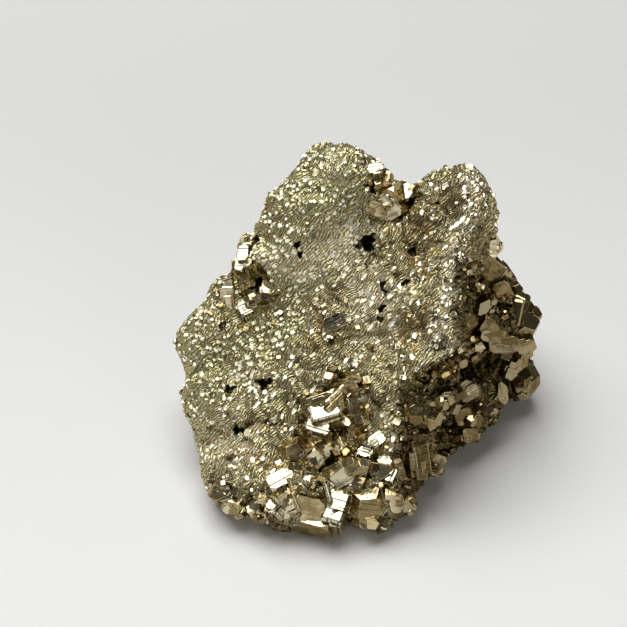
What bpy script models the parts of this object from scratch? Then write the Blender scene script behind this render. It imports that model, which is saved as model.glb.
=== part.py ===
"""A palm-sized pyrite cluster: one intergrown mass of pyrite, rough with fine crystals on the outside,
with flat-faced crystals standing in a pocket at its foot and along its right flank.

Run it with blender --background --python part.py, or from Blender's text editor.
+Z is up, the rock rests on z = 0, and -Y is the side with the pocket. Lists are in millimetres.
"""

import math
import random

import bmesh
import bpy
from mathutils import Euler, Matrix, Vector, noise

MM = 0.001

# Grid on which the lumps are fused into one skin, and the finer one on which the hollows are.
SKIN_GRID = 0.85
HOLLOW_GRID = 0.68

# Triangles left in the mass before its crystals are joined to it, and corners of each lump.
BODY_FACES = 4300
BOULDER_POINTS = 34

# Knobs and steps on the mass: how far apart they are and how far they stand out.
KNOB_PITCH = 4.5
KNOB_HEIGHT = 0.65
STEP_PITCH = 2.0
STEP_HEIGHT = 0.45

# The rock has broken off flat at this height, so that it rests on its lowest lumps.
BASE_CUT = 1.6

# What carries the cut rock to stand on z = 0, centred over the origin.
TO_STAND = (0.17, 0.63, -BASE_CUT)

# The great front face slants back at this angle. Crystals and hollows seen on it are placed in its own axes:
# across to the right, up the slope, and straight out of it.
SLOPE_ANGLE = 50.0
SLOPE = Matrix.Rotation(math.radians(SLOPE_ANGLE), 3, "X")

# Crystal faces, as distances from the middle of a cube of half size 1: a cube's corner and edge cuts, and the
# twelve slanting faces that make a pyritohedron. Each crystal is cut from a block of this size.
CORNER_CUT = 1.5
EDGE_CUT = 1.24
PYRITOHEDRON_FACE = 0.96
BLOCK_SIZE = 2.6

# A pyritohedron's faces slant this far from its axes, and one of them is its top face.
PYRITOHEDRON_TILT = math.atan(0.5)

# The slanting core under everything else, as the corners of one block.
CORE_CORNERS = [
    (-25.5, -16, 4), (-18, -25, 3), (-4, -27, 3), (5.5, -22, 2), (13, -7.5, 1), (23, 4, 1),
    (26, 18, 2), (8, 26, 1), (-14, 22, 1), (-24, 9, 2), (-28, -6, 4),
    (-28, 4, 18), (-19, 11, 26), (-10, 17, 38), (1, 18, 43), (9, 18, 40.3), (19, 16, 36),
    (25, 9, 23), (25, 18, 16), (6, 8, 36), (-1, 7.5, 36), (-3, 1, 30.5), (-12, -6, 22.5), (-20, -13, 14),
    (8, -15, 12),
]

# Lumps grown on the core: name, centre, radii, turn in degrees.
LUMPS = [
    ("left_peak", (-4, 16, 40), (9.5, 7, 8.7), (0, 0, 10)),
    ("left_peak_shoulder", (-8.3, 13.5, 36.4), (7.9, 7.2, 9.5), (0, 25, 0)),
    ("left_peak_edge", (-10.7, 11.6, 33), (6.8, 7, 9), (0, 30, 0)),
    ("left_peak_foot", (-13.1, 9, 28.9), (7.5, 6.5, 7.5), (0, 35, 0)),
    ("left_saddle", (-3, 10.5, 31.7), (7.5, 7, 6.5), (0, 0, 0)),
    ("left_valley", (-6.5, 8.6, 30), (9.5, 8.5, 6.3), (50, 0, 0)),
    ("left_shelf", (-20.5, 8, 22.5), (5.5, 5, 5.5), (0, 0, 0)),
    ("left_lobe", (-24, 3.6, 17.2), (7.1, 7.6, 7.5), (0, 0, 0)),
    ("left_lobe_low", (-23.5, -4.1, 12), (6.7, 7.6, 6.8), (0, 0, 0)),
    ("left_foot", (-19.8, -17, 7.5), (7.2, 7, 6), (0, 0, 20)),
    ("front_foot", (-10, -21.5, 6.5), (9, 6.3, 6), (0, 0, 0)),
    ("front_corner", (2, -20.5, 6.5), (7, 6.5, 6), (0, 0, 0)),
    ("right_peak", (15.4, 13, 37.4), (7.8, 7, 9), (0, 0, 0)),
    ("right_peak_side", (17.4, 12, 29), (5, 6, 7), (0, 0, 0)),
    ("crest_top", (14.2, 7, 33.2), (5.8, 11, 7), (38, 0, 0)),
    ("crest_upper", (13.2, 2, 30.2), (5.6, 10, 7.3), (38, 0, 0)),
    ("crest_middle", (12.1, -2.5, 26.9), (5.8, 10, 7.6), (40, 0, 0)),
    ("crest_low", (10.2, -8.5, 21), (5.8, 10, 7.8), (40, 0, 0)),
    ("crest_foot", (7, -14.6, 12), (5.6, 7, 8), (0, 0, 0)),
    ("centre_rise", (7, 3, 26.2), (9, 16, 6.8), (50, 0, 0)),
    ("centre_rise_low", (3.5, -7.5, 16.7), (8, 10, 6.5), (50, 0, 0)),
    ("right_flank", (23.5, 8, 19), (6, 7, 8), (0, 0, 0)),
    ("right_flank_foot", (24, 7, 11.5), (4.2, 5, 4.5), (0, 0, 0)),
    ("right_knob", (26.5, 8, 6), (4, 4.5, 4.5), (0, 0, 0)),
    ("right_lobe", (18, -0.5, 9), (6.3, 7, 6.5), (0, 0, 0)),
    ("back_left", (-10, 16, 17), (13, 9, 14), (0, 0, 0)),
    ("back_right", (12, 18, 16), (13, 8, 15), (0, 0, 0)),
]

# Hollows in the mass, in the axes of the front face: name, centre, radii.
HOLLOWS = [
    ("upper_pit", (1.1, 32.2, 17), (0.9, 1.3, 2.2)),
    ("notch", (6.3, 38.6, 17), (2.6, 3.0, 2.6)),
    ("left_break", (-17.8, 27, 16.5), (2.6, 2.2, 3)),
    ("pocket", (-5, 0.4, 22.8), (5.2, 4.6, 3.6)),
    ("pocket_throat", (-9.5, 0.7, 21), (1.5, 1.4, 4)),
    ("pocket_foot", (-4.3, -4.6, 22), (3.4, 2, 4)),
    ("small_pit_left", (-19.3, 1.2, 19.5), (0.9, 0.9, 2)),
    ("small_pit_middle", (-22.2, 8.5, 17), (0.9, 1.2, 2)),
    ("under_shell", (15.5, 8.6, 25), (4.5, 2.2, 4)),
    ("flank_cave", (20.5, 15.5, 13), (3.6, 4.2, 5)),
    ("lobe_gap", (13.8, 2, 20), (2, 2.4, 3)),
]

# Hollows on the other sides, in the axes of the cluster itself.
SIDE_HOLLOWS = [
    ("back_cave", (4.5, 23.5, 20.5), (2.8, 3, 2.6)),
    ("back_pit", (-13.5, 17, 27.5), (2.4, 3, 2.2)),
    ("back_low_pit", (-7, 22.5, 9.5), (2, 2, 1.6)),
    ("side_cave", (22.4, 10.5, 26.8), (2.6, 2.2, 2.2)),
    ("side_pit", (17.2, -1.5, 15.4), (2.4, 2.4, 2)),
    ("left_pit", (-26.8, 3.4, 10.5), (2, 2.2, 1.8)),
]

# Crystals: name, form, centre, half sizes along its edges, across and out, the way its top face looks, and
# the way its long edges run. All in the axes of the front face.
FRONT_CRYSTALS = [
    ("foot_large", "cornered", (-8, -9.9, 23.5), (2.6, 2.4, 2.7), (-0.2, -0.42, 0.88), (0.95, -0.25, 0.2)),
    ("foot_ridge", "cornered", (-5.6, -10.6, 24.3), (3.3, 0.5, 1.8), (0.5, 0.1, 0.86), (0.32, -0.95, 0)),
    ("foot_white", "bevelled", (-4, -11.6, 23.8), (1.8, 2.8, 2.5), (-0.05, 0.5, 0.86), (0.95, -0.25, 0.2)),
    ("foot_strip", "cornered", (-7.8, -13.4, 23.2), (3.2, 1.2, 2.0), (-0.16, 0.55, 0.82), (0.93, -0.37, 0)),
    ("foot_cube", "pyritohedron", (1.1, -10, 23.2), (3.2, 3.0, 2.9), (-0.03, -0.36, 0.93), (1, -0.1, 0)),
    ("rim_crystal", "pyritohedron", (3.4, -5, 23.1), (2.1, 2.0, 2.0), (-0.15, 0.2, 0.97), (0.8, -0.4, 0)),
    ("rim_white", "cornered", (4.9, -5.9, 23.8), (1.3, 0.8, 1.3), (-0.16, 0.5, 0.85), (0.3, 0.95, 0)),
    ("rim_upper", "cornered", (4, -3.7, 23.8), (1.2, 0.7, 1.2), (-0.2, 0.6, 0.77), (0.9, -0.4, 0)),
    ("lens", "pyritohedron", (-3.9, -5.9, 22.7), (4.0, 2.2, 2.0), (0.1, -0.2, 0.97), (0.8, 0.6, 0)),
    ("lens_gold", "cornered", (-2.2, -7.4, 23.7), (0.9, 0.6, 0.9), (0.1, -0.45, 0.88), (0.8, 0.6, 0)),
    ("pocket_bright", "bevelled", (-5.6, 3.9, 20.9), (2.7, 1.5, 2.0), (-0.16, 0.55, 0.82), (0.95, 0.25, 0)),
    ("bright_low", "cornered", (-6.7, 1.6, 21), (1.9, 1.1, 1.6), (-0.22, 0.48, 0.85), (0.9, -0.3, 0.3)),
    ("white_edge", "cornered", (-2.4, 2.5, 20.8), (1.1, 0.7, 1.3), (-0.1, 0.55, 0.83), (0.7, -0.7, 0)),
    ("pocket_brown", "bevelled", (-1.1, 4.2, 20), (1.8, 2.0, 2.2), (0.5, 0.1, 0.86), (0.9, 0.2, -0.5)),
    ("brown_low", "cornered", (-1.6, 0.6, 19.8), (1.4, 2.1, 1.9), (0.45, -0.1, 0.89), (0.9, 0.1, -0.4)),
    ("pocket_grey", "pyritohedron", (-6.2, -1.1, 20.7), (2.1, 1.6, 1.8), (0.05, -0.38, 0.92), (1, 0.2, 0)),
    ("grey_right", "pyritohedron", (-3.3, -1.1, 20.6), (1.8, 1.7, 1.8), (0.25, -0.36, 0.9), (0.8, 0.6, 0)),
    ("ledge_blade", "bevelled", (-3.3, 7.3, 20.3), (3.3, 1.7, 1.7), (0.4, -0.12, 0.91), (0.75, 0.62, 0)),
    ("ledge_left", "cornered", (-6.7, 6.5, 20.3), (2.8, 1.2, 1.5), (-0.15, -0.25, 0.96), (0.93, 0.36, 0)),
    ("ledge_upper", "cornered", (-2.6, 8.9, 20.4), (3.0, 1.1, 1.3), (-0.4, -0.5, 0.77), (0.85, 0.5, 0)),
    ("round_a", "pyritohedron", (-10.4, -1.8, 21.1), (2.3, 2.1, 2.2), (-0.2, -0.1, 0.97), (1, 0.3, 0)),
    ("round_b", "cornered", (-8.1, -2.5, 22), (1.4, 1.5, 1.6), (0.3, -0.4, 0.87), (0.7, -0.7, 0)),
    ("round_c", "pyritohedron", (-9.1, -5.1, 23), (2.0, 1.8, 1.9), (0.4, 0.2, 0.9), (0.3, 1, 0)),
    ("left_white", "cornered", (-12.9, -6.9, 24.2), (2.0, 1.4, 1.8), (-0.16, 0.55, 0.82), (0.8, 0.5, 0)),
    ("left_white_low", "cornered", (-13.3, -10.6, 24.3), (1.6, 1.3, 1.5), (-0.25, 0.5, 0.83), (0.5, 0.9, 0)),
    ("brown_stripes", "bevelled", (-11, -7.8, 24.2), (1.4, 2.4, 1.9), (0.5, -0.1, 0.86), (1, 0.2, 0)),
    ("tan_blade", "cornered", (-11.5, -10.5, 24.2), (1.9, 1.0, 1.6), (0.1, -0.42, 0.9), (0.85, 0.5, 0)),
    ("left_point", "pyritohedron", (-20.2, -10.2, 21.8), (1.9, 1.7, 1.7), (-0.1, 0.5, 0.86), (0.3, 1, 0)),
    ("left_foot_small", "cornered", (-22.3, -8.6, 21.5), (1.4, 1.2, 1.3), (-0.4, 0.3, 0.87), (1, 0.3, 0)),
    ("corner_gold", "cornered", (5.4, -9.6, 23.2), (1.0, 1.5, 1.5), (0.1, -0.42, 0.9), (1, 0.2, 0)),
    ("corner_gold_low", "pyritohedron", (7, -10.3, 21.9), (1.5, 1.4, 1.4), (0.3, -0.4, 0.87), (1, 0.2, 0)),
    ("middle_round", "pyritohedron", (9.5, 5, 23.5), (2.9, 2.7, 2.6), (-0.1, 0.25, 0.96), (0.2, 1, 0)),
    ("middle_flat", "cornered", (13.1, 6.9, 23.2), (1.7, 1.0, 1.4), (0.1, -0.4, 0.91), (0.97, 0.2, 0)),
    ("middle_column", "bevelled", (8.9, -2.6, 23.2), (1.5, 2.8, 1.9), (0.5, -0.15, 0.85), (1, 0.15, 0)),
    ("middle_edge", "cornered", (6.2, -4.6, 22.9), (1.1, 1.6, 1.4), (-0.2, -0.3, 0.93), (1, 0.3, 0)),
    ("middle_white", "cornered", (2.7, -0.4, 23), (1.4, 1.1, 1.3), (-0.16, 0.55, 0.82), (0.7, 0.7, 0)),
    ("middle_white_low", "cornered", (1, -2.2, 22.8), (1.1, 0.9, 1.2), (-0.25, 0.5, 0.83), (1, -0.5, 0)),
    ("middle_low", "cornered", (11.6, -3.9, 14.0), (1.7, 1.6, 1.6), (0.6, 0.3, 0.74), (0.5, 1, 0)),
    ("lobe_gold", "cornered", (16.9, 4.2, 11.9), (1.4, 1.3, 1.4), (0.2, -0.42, 0.88), (1, 0.4, 0)),
    ("lobe_white", "pyritohedron", (19, 3.2, 11.5), (1.6, 1.5, 1.5), (-0.16, 0.55, 0.82), (0.6, 0.8, 0)),
    ("lobe_low", "cornered", (18, 0.7, 10.9), (1.3, 1.2, 1.3), (0.3, -0.3, 0.9), (1, 0.1, 0)),
    ("lobe_upper", "cornered", (17.4, 7.9, 13.2), (1.7, 1.5, 1.5), (0.4, -0.2, 0.89), (1, 0.5, 0)),
    ("flank_striated", "bevelled", (21.3, 28, 11.1), (2.6, 1.8, 1.9), (0.3, -0.22, 0.93), (0.8, -0.6, 0)),
    ("flank_gold", "cornered", (23.8, 24.5, 10.5), (2.3, 1.5, 1.9), (0.05, -0.42, 0.91), (0.4, -0.91, 0)),
    ("flank_grey", "bevelled", (20.3, 25.2, 10.8), (2.0, 1.5, 1.7), (0.5, 0.35, 0.79), (-0.2, 1, 0)),
    ("flank_pentagon", "pyritohedron", (20.1, 21.7, 11), (2.8, 1.9, 2.1), (0.3, -0.36, 0.88), (0.15, 1, 0)),
    ("flank_tan_small", "cornered", (17.2, 19.4, 20.4), (1.3, 1.2, 1.5), (0.1, -0.4, 0.91), (0.7, 0.7, 0)),
    ("flank_tan_low", "cornered", (22, 18.6, 10.3), (2.3, 1.6, 2.1), (0.1, -0.38, 0.92), (0.85, -0.5, 0)),
    ("flank_point", "pyritohedron", (27.1, 18.9, 9), (2.9, 2.4, 2.6), (0.45, 0.3, 0.84), (0.3, -0.95, 0)),
    ("flank_point_low", "cornered", (27.6, 15.7, 9), (1.6, 1.2, 1.8), (0.1, -0.45, 0.89), (1, 0.4, 0)),
    ("flank_brown", "bevelled", (25.6, 20.6, 10.5), (2.3, 1.8, 1.8), (-0.3, 0.1, 0.95), (0.2, 1, 0)),
    ("flank_shelf", "cornered", (24.1, 15.8, 9.4), (2.6, 1.4, 1.7), (0, -0.36, 0.93), (1, 0.1, 0)),
    ("flank_rounded", "pyritohedron", (25.8, 12.5, 5.4), (2.4, 2.3, 2.5), (0, -0.36, 0.93), (0.9, -0.3, 0)),
    ("knob_crystal", "pyritohedron", (28, 9.3, 0.9), (2.6, 2.5, 2.5), (-0.2, -0.35, 0.91), (0.9, 0.3, 0)),
    ("edge_upper", "cornered", (21.3, 28.3, 8.1), (2.1, 1.8, 1.9), (0.3, 0.3, 0.9), (0.6, -0.8, 0)),
    ("edge_middle", "cornered", (22.6, 26.9, 8.8), (2.0, 2.1, 1.8), (-0.2, 0.3, 0.92), (0.6, 0.8, 0)),
    ("edge_lower", "pyritohedron", (25.2, 24.3, 9.9), (1.8, 1.7, 1.7), (0.4, 0.3, 0.86), (0.9, 0.2, 0)),
    ("edge_lowest", "cornered", (26.4, 22.3, 10.3), (1.6, 1.5, 1.5), (0.2, 0.1, 0.97), (0.3, 0.9, 0)),
    ("notch_crystal", "cornered", (5.1, 39.1, 15.9), (2.2, 2.2, 2.3), (-0.4, -0.3, 0.87), (0.8, 0.3, 0.5)),
    ("notch_bright", "cornered", (4.4, 38.3, 17.1), (1.0, 0.9, 1.3), (-0.16, 0.55, 0.82), (0.8, 0.6, 0)),
    ("notch_tan", "cornered", (2.9, 38.2, 16.4), (1.7, 1.3, 1.5), (-0.1, -0.4, 0.91), (0.9, -0.3, 0)),
    ("notch_small", "pyritohedron", (3.5, 42, 17.1), (1.4, 1.3, 1.4), (-0.2, 0.4, 0.89), (1, 0.4, 0)),
    ("notch_white", "cornered", (2.4, 43.5, 18.4), (1.2, 0.9, 1.3), (-0.16, 0.55, 0.82), (1, 0.1, 0)),
    ("notch_far", "cornered", (7.8, 40.1, 14.6), (1.3, 1.1, 1.4), (-0.2, 0.4, 0.9), (0.5, 0.9, 0)),
    ("break_block", "pyritohedron", (-16.4, 22.2, 13.7), (2.1, 1.5, 1.9), (0.1, 0.3, 0.95), (1, 0.2, 0)),
    ("break_tall", "bevelled", (-21.6, 23.7, 12.2), (1.0, 1.9, 1.4), (-0.1, -0.38, 0.92), (1, 0.1, 0)),
    ("break_white", "cornered", (-18.6, 28.8, 14.8), (1.2, 1.9, 1.8), (-0.16, 0.55, 0.82), (1, -0.2, 0)),
    ("break_prism", "cornered", (-15.3, 24.7, 14.8), (1.0, 1.6, 1.3), (0.1, 0.45, 0.89), (1, -0.1, 0)),
    ("break_round", "pyritohedron", (-18.7, 26, 13.6), (1.3, 1.2, 1.4), (0, -0.4, 0.92), (1, 0.3, 0)),
    ("break_white_low", "cornered", (-18.6, 20.9, 13.4), (1.2, 1.4, 1.4), (-0.2, 0.5, 0.84), (1, 0.5, 0)),
    ("centre_striped", "cornered", (-3.8, 19, 18.5), (1.8, 1.2, 1.4), (-0.3, 0.1, 0.95), (1, 0.4, 0)),
]

# Crystals on the other sides, in the same order, in the axes of the cluster itself.
SIDE_CRYSTALS = [
    ("side_upper", "pyritohedron", (21.5, 13, 30.2), (2.2, 2.0, 2.0), (0.9, 0, 0.4), (0, 0.5, 1)),
    ("side_pair_upper", "cornered", (23.7, 13.2, 23.4), (2.3, 1.9, 2.0), (0.8, 0.5, 0.3), (0, 0.7, 0.7)),
    ("side_pair_lower", "bevelled", (23, 17.2, 21), (2.3, 1.8, 1.8), (0.9, 0.2, 0.4), (0, 1, -0.3)),
    ("side_middle", "pyritohedron", (26.2, 12.6, 16), (2.6, 2.3, 2.3), (0.95, 0.1, 0.3), (0.2, 1, 0.4)),
    ("side_low", "cornered", (25.2, 17.6, 13.4), (2.4, 2.0, 2.0), (0.8, 0.5, 0.1), (0, 0.4, 1)),
    ("side_lowest", "bevelled", (26, 12.6, 8.6), (2.2, 1.8, 1.8), (0.9, 0.4, -0.1), (0.3, 0, 1)),
    ("side_back", "pyritohedron", (22.7, 22, 15.6), (2.5, 2.2, 2.2), (0.8, 0.6, 0.2), (0, 0.2, 1)),
    ("side_foot", "cornered", (24.9, 17.2, 6.6), (2.0, 1.7, 1.8), (0.9, 0.3, 0.3), (0, 1, 0.6)),
    ("side_front_upper", "bevelled", (15.6, 2.2, 23.4), (2.2, 1.7, 1.7), (0.95, 0.1, 0.2), (0, 0.8, 0.6)),
    ("side_front_middle", "pyritohedron", (18.7, 2.2, 16.8), (2.2, 1.9, 1.9), (0.7, -0.3, 0.6), (0.3, 1, 0)),
    ("side_front_low", "cornered", (22.6, -2.6, 11.2), (1.8, 1.5, 1.6), (0.8, -0.3, 0.5), (0, 1, 0.3)),
    ("side_front_foot", "cornered", (12.7, -13.4, 6.4), (1.8, 1.6, 1.6), (0.9, -0.3, -0.2), (0, 0.4, 1)),
    ("side_crest", "cornered", (14.3, -3, 20.2), (2.0, 1.6, 1.6), (0.8, -0.5, 0.1), (0, 0.6, 0.8)),
    ("back_upper", "cornered", (-5, 21.2, 39), (2.3, 1.9, 2.0), (-0.4, 0.9, 0.1), (0.3, 0, 1)),
    ("back_shoulder", "pyritohedron", (-11, 19.4, 34), (2.0, 1.8, 1.8), (-0.4, 0.9, 0.2), (1, 0, 0.4)),
    ("back_left_high", "pyritohedron", (-12, 24.2, 17.6), (2.7, 2.4, 2.4), (-0.3, 0.9, 0.3), (1, 0.2, 0)),
    ("back_left_low", "bevelled", (-16, 21.8, 12.6), (2.3, 1.8, 1.8), (-0.5, 0.8, -0.1), (0.3, 0, 1)),
    ("back_left_side", "cornered", (-8.6, 23.4, 22), (1.9, 1.7, 1.7), (0.2, 0.9, 0.3), (1, 0, -0.6)),
    ("back_middle", "cornered", (-2.6, 22.4, 14.2), (2.6, 2.1, 2.2), (0, 0.95, 0.2), (0.7, 0, 0.7)),
    ("back_middle_low", "pyritohedron", (2.2, 23.2, 9.4), (2.2, 2.0, 2.0), (-0.2, 0.95, 0.1), (1, 0, 0.2)),
    ("back_right_high", "bevelled", (9.6, 25, 17.8), (2.8, 2.1, 2.1), (-0.1, 0.9, 0.4), (0.6, 0, 0.8)),
    ("back_right_low", "cornered", (13.2, 24.2, 13), (2.1, 1.9, 1.9), (0.3, 0.9, -0.1), (0.2, 0, 1)),
    ("back_right_side", "pyritohedron", (17.2, 23.4, 21.4), (2.3, 2.0, 2.0), (0.3, 0.8, 0.5), (1, 0, 0)),
    ("back_cleft", "cornered", (1.6, 20.4, 28), (2.1, 1.8, 1.9), (0, 0.95, 0.3), (0.8, 0, 0.5)),
    ("back_cleft_upper", "pyritohedron", (6.8, 19.6, 31.6), (1.9, 1.7, 1.8), (0.2, 0.9, 0.4), (0, 0, 1)),
    ("back_peak", "cornered", (14.6, 18.8, 36.8), (1.8, 1.6, 1.7), (0.1, 0.9, 0.4), (1, 0, 0.5)),
    ("left_side_front", "cornered", (-27, -3.8, 12), (1.9, 1.5, 1.5), (-0.9, -0.1, 0.3), (0, 1, 0.4)),
    ("left_side_back", "pyritohedron", (-23.4, 10.4, 13), (2.3, 2.0, 2.0), (-0.8, 0.5, 0.3), (0, 0, 1)),
    ("left_side_high", "bevelled", (-21, 15.4, 18.6), (2.3, 1.8, 1.8), (-0.9, 0.3, 0.3), (0, 0.5, 1)),
    ("left_side_peak", "cornered", (-18.2, 11.6, 31), (1.9, 1.6, 1.7), (-0.9, 0.3, 0.2), (0, 1, 0.5)),
]


def clear_scene():
    for obj in list(bpy.data.objects):
        bpy.data.objects.remove(obj)


def add_object(name, mesh_builder):
    """One object at the origin, filled by mesh_builder(bm), which works in millimetres."""
    bm = bmesh.new()
    mesh_builder(bm)
    bmesh.ops.scale(bm, vec=(MM, MM, MM), verts=bm.verts)
    mesh = bpy.data.meshes.new(name)
    bm.to_mesh(mesh)
    bm.free()
    obj = bpy.data.objects.new(name, mesh)
    bpy.context.scene.collection.objects.link(obj)
    return obj


def turned(degrees):
    return Euler([math.radians(angle) for angle in degrees]).to_matrix()


def hull(bm, points):
    """Adds the convex hull of the points to bm."""
    corners = [bm.verts.new(point) for point in points]
    made = bmesh.ops.convex_hull(bm, input=corners)
    spare = [item for item in made["geom_interior"] if isinstance(item, bmesh.types.BMVert)]
    bmesh.ops.delete(bm, geom=spare, context="VERTS")


def boulder(bm, name, centre, radii, rotation, roughness=0.10):
    """A lump with broad uneven facets: the hull of points spread evenly on an ellipsoid and then jittered."""
    draw = random.Random(name)
    golden = math.pi * (3 - math.sqrt(5))
    points = []
    for i in range(BOULDER_POINTS):
        height = 1 - (2 * i + 1) / BOULDER_POINTS
        ring = math.sqrt(1 - height * height)
        reach = 1 + draw.uniform(-roughness, roughness)
        local = Vector((ring * math.cos(i * golden), ring * math.sin(i * golden), height)) * reach
        local = Vector([value * radius for value, radius in zip(local, radii)])
        points.append(Vector(centre) + rotation @ local)
    hull(bm, points)


def remesh(obj, voxel):
    modifier = obj.modifiers.new("One skin", "REMESH")
    modifier.mode = "VOXEL"
    modifier.voxel_size = voxel * MM
    modifier.adaptivity = 0.0


def baked(obj):
    """The object with its modifiers applied."""
    graph = bpy.context.evaluated_depsgraph_get()
    mesh = bpy.data.meshes.new_from_object(obj.evaluated_get(graph))
    obj.modifiers.clear()
    obj.data = mesh
    return obj


def smooth(obj, rounds):
    modifier = obj.modifiers.new("Soften creases", "SMOOTH")
    modifier.factor = 0.5
    modifier.iterations = rounds


def roughen(obj):
    """Knobs and steps a few millimetres across, pushed out along the surface."""
    mesh = obj.data
    normals = [vertex.normal.copy() for vertex in mesh.vertices]
    for vertex, normal in zip(mesh.vertices, normals):
        place = vertex.co / MM
        knobs = noise.noise(place / KNOB_PITCH) * KNOB_HEIGHT
        steps = noise.noise(place / STEP_PITCH + Vector((7, 3, 1))) * STEP_HEIGHT
        vertex.co += normal * (knobs + steps) * MM
    mesh.update()


def cut_away(obj, cutters):
    modifier = obj.modifiers.new("Hollows", "BOOLEAN")
    modifier.operation = "DIFFERENCE"
    modifier.object = cutters
    modifier.solver = "EXACT"
    modifier.use_self = True


def make_body():
    def grow(bm):
        hull(bm, CORE_CORNERS)
        for name, centre, radii, turn in LUMPS:
            boulder(bm, name, centre, radii, turned(turn))

    def hollow(bm):
        for name, centre, radii in HOLLOWS:
            boulder(bm, name, SLOPE @ Vector(centre), radii, SLOPE, roughness=0.15)
        for name, centre, radii in SIDE_HOLLOWS:
            boulder(bm, name, centre, radii, Matrix.Identity(3), roughness=0.15)

    body = add_object("pyrite_mass", grow)
    remesh(body, SKIN_GRID)
    smooth(body, 2)
    baked(body)
    roughen(body)
    hollows = add_object("hollows", hollow)
    cut_away(body, hollows)
    remesh(body, HOLLOW_GRID)
    baked(body)
    bpy.data.objects.remove(hollows)
    return body


def form_faces(form):
    """The flat faces of one crystal form, as the way each looks and how far it lies from the middle."""
    signs = (1, -1)
    cube = [Vector(axis) * sign for axis in ((1, 0, 0), (0, 1, 0), (0, 0, 1)) for sign in signs]
    corners = [Vector((a, b, c)).normalized() for a in signs for b in signs for c in signs]
    slants = []
    for a in signs:
        for b in signs:
            slants += [Vector((2 * a, b, 0)), Vector((0, 2 * a, b)), Vector((b, 0, 2 * a))]
    slants = [slant.normalized() for slant in slants]
    faces = [(face, 1.0) for face in cube]
    if form == "cornered":
        faces += [(corner, CORNER_CUT) for corner in corners]
    if form == "bevelled":
        faces += [(slant, EDGE_CUT) for slant in slants]
    if form == "pyritohedron":
        faces = [(slant, PYRITOHEDRON_FACE) for slant in slants]
    return faces


def crystal_turn(form, looks, runs):
    """The crystal's own axes as the columns of a matrix: along, across and out of its top."""
    face = looks.normalized()
    ridge = (runs - face * runs.dot(face)).normalized()
    across = face.cross(ridge)
    tilt = PYRITOHEDRON_TILT if form == "pyritohedron" else 0.0
    top = face * math.cos(tilt) - ridge * math.sin(tilt)
    return Matrix((across.cross(top), across, top)).transposed()


def crystal(bm, form, centre, half_sizes, looks, runs, frame):
    """One flat-faced crystal, cut face by face from a block and stood at its place."""
    made = bmesh.ops.create_cube(bm, size=BLOCK_SIZE)
    verts = made["verts"]
    geom = verts + list({edge for vert in verts for edge in vert.link_edges})
    geom += list({face for vert in verts for face in vert.link_faces})
    for way, distance in form_faces(form):
        cut = bmesh.ops.bisect_plane(bm, geom=geom, plane_co=way * distance, plane_no=way, clear_outer=True)
        rim = [item for item in cut["geom_cut"] if isinstance(item, bmesh.types.BMEdge)]
        fresh = bmesh.ops.edgeloop_fill(bm, edges=rim)["faces"] if rim else []
        geom = [item for item in cut["geom"] if item.is_valid] + fresh
    turn = crystal_turn(form, frame @ Vector(looks), frame @ Vector(runs))
    place = frame @ Vector(centre)
    for vert in {item for item in geom if isinstance(item, bmesh.types.BMVert)}:
        local = Vector([value * half for value, half in zip(vert.co, half_sizes)])
        vert.co = place + turn @ local


def make_crystals(holder, crystals, frame):
    """Each crystal as an object of its own, in the collection."""
    for name, form, centre, half_sizes, looks, runs in crystals:
        obj = add_object(name, lambda bm: crystal(bm, form, centre, half_sizes, looks, runs, frame))
        bpy.context.scene.collection.objects.unlink(obj)
        holder.objects.link(obj)


def join_crystals(body):
    """Grows every crystal into the body, so that they are one solid."""
    holder = bpy.data.collections.new("crystals")
    bpy.context.scene.collection.children.link(holder)
    make_crystals(holder, FRONT_CRYSTALS, SLOPE)
    make_crystals(holder, SIDE_CRYSTALS, Matrix.Identity(3))
    modifier = body.modifiers.new("Intergrown crystals", "BOOLEAN")
    modifier.operation = "UNION"
    modifier.operand_type = "COLLECTION"
    modifier.collection = holder
    modifier.solver = "EXACT"
    modifier.use_self = True
    baked(body)
    for obj in list(holder.objects):
        bpy.data.objects.remove(obj)
    bpy.data.collections.remove(holder)


def cut_base(body):
    """Breaks the rock off flat underneath and stands it on z = 0."""
    def below(bm):
        bmesh.ops.create_cube(bm, size=100.0)
        bmesh.ops.translate(bm, vec=(0, 0, BASE_CUT - 50.0), verts=bm.verts)

    underside = add_object("underside", below)
    cut_away(body, underside)
    baked(body)
    bpy.data.objects.remove(underside)
    body.data.transform(Matrix.Translation(Vector(TO_STAND) * MM))


def pyrite():
    material = bpy.data.materials.new("pyrite")
    material.use_nodes = True
    surface = material.node_tree.nodes["Principled BSDF"]
    surface.inputs["Base Color"].default_value = (0.56, 0.48, 0.29, 1)
    surface.inputs["Metallic"].default_value = 1.0
    surface.inputs["Roughness"].default_value = 0.32
    return material


def make_cluster():
    body = make_body()
    thin = body.modifiers.new("Broad facets", "DECIMATE")
    thin.ratio = BODY_FACES / (2 * len(body.data.polygons))
    baked(body)
    join_crystals(body)
    cut_base(body)
    body.data.materials.append(pyrite())
    return body


clear_scene()
make_cluster()
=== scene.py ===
"""Looks of the pyrite cluster: a crust of fine crystals over the rock, and flat-faced ones standing in it.

The rock's shape comes from the loaded frame. Lengths in lists and names are in millimetres.
"""

import math
import random

import bmesh
import bpy
import numpy as np
from mathutils import Matrix, Vector


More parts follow.
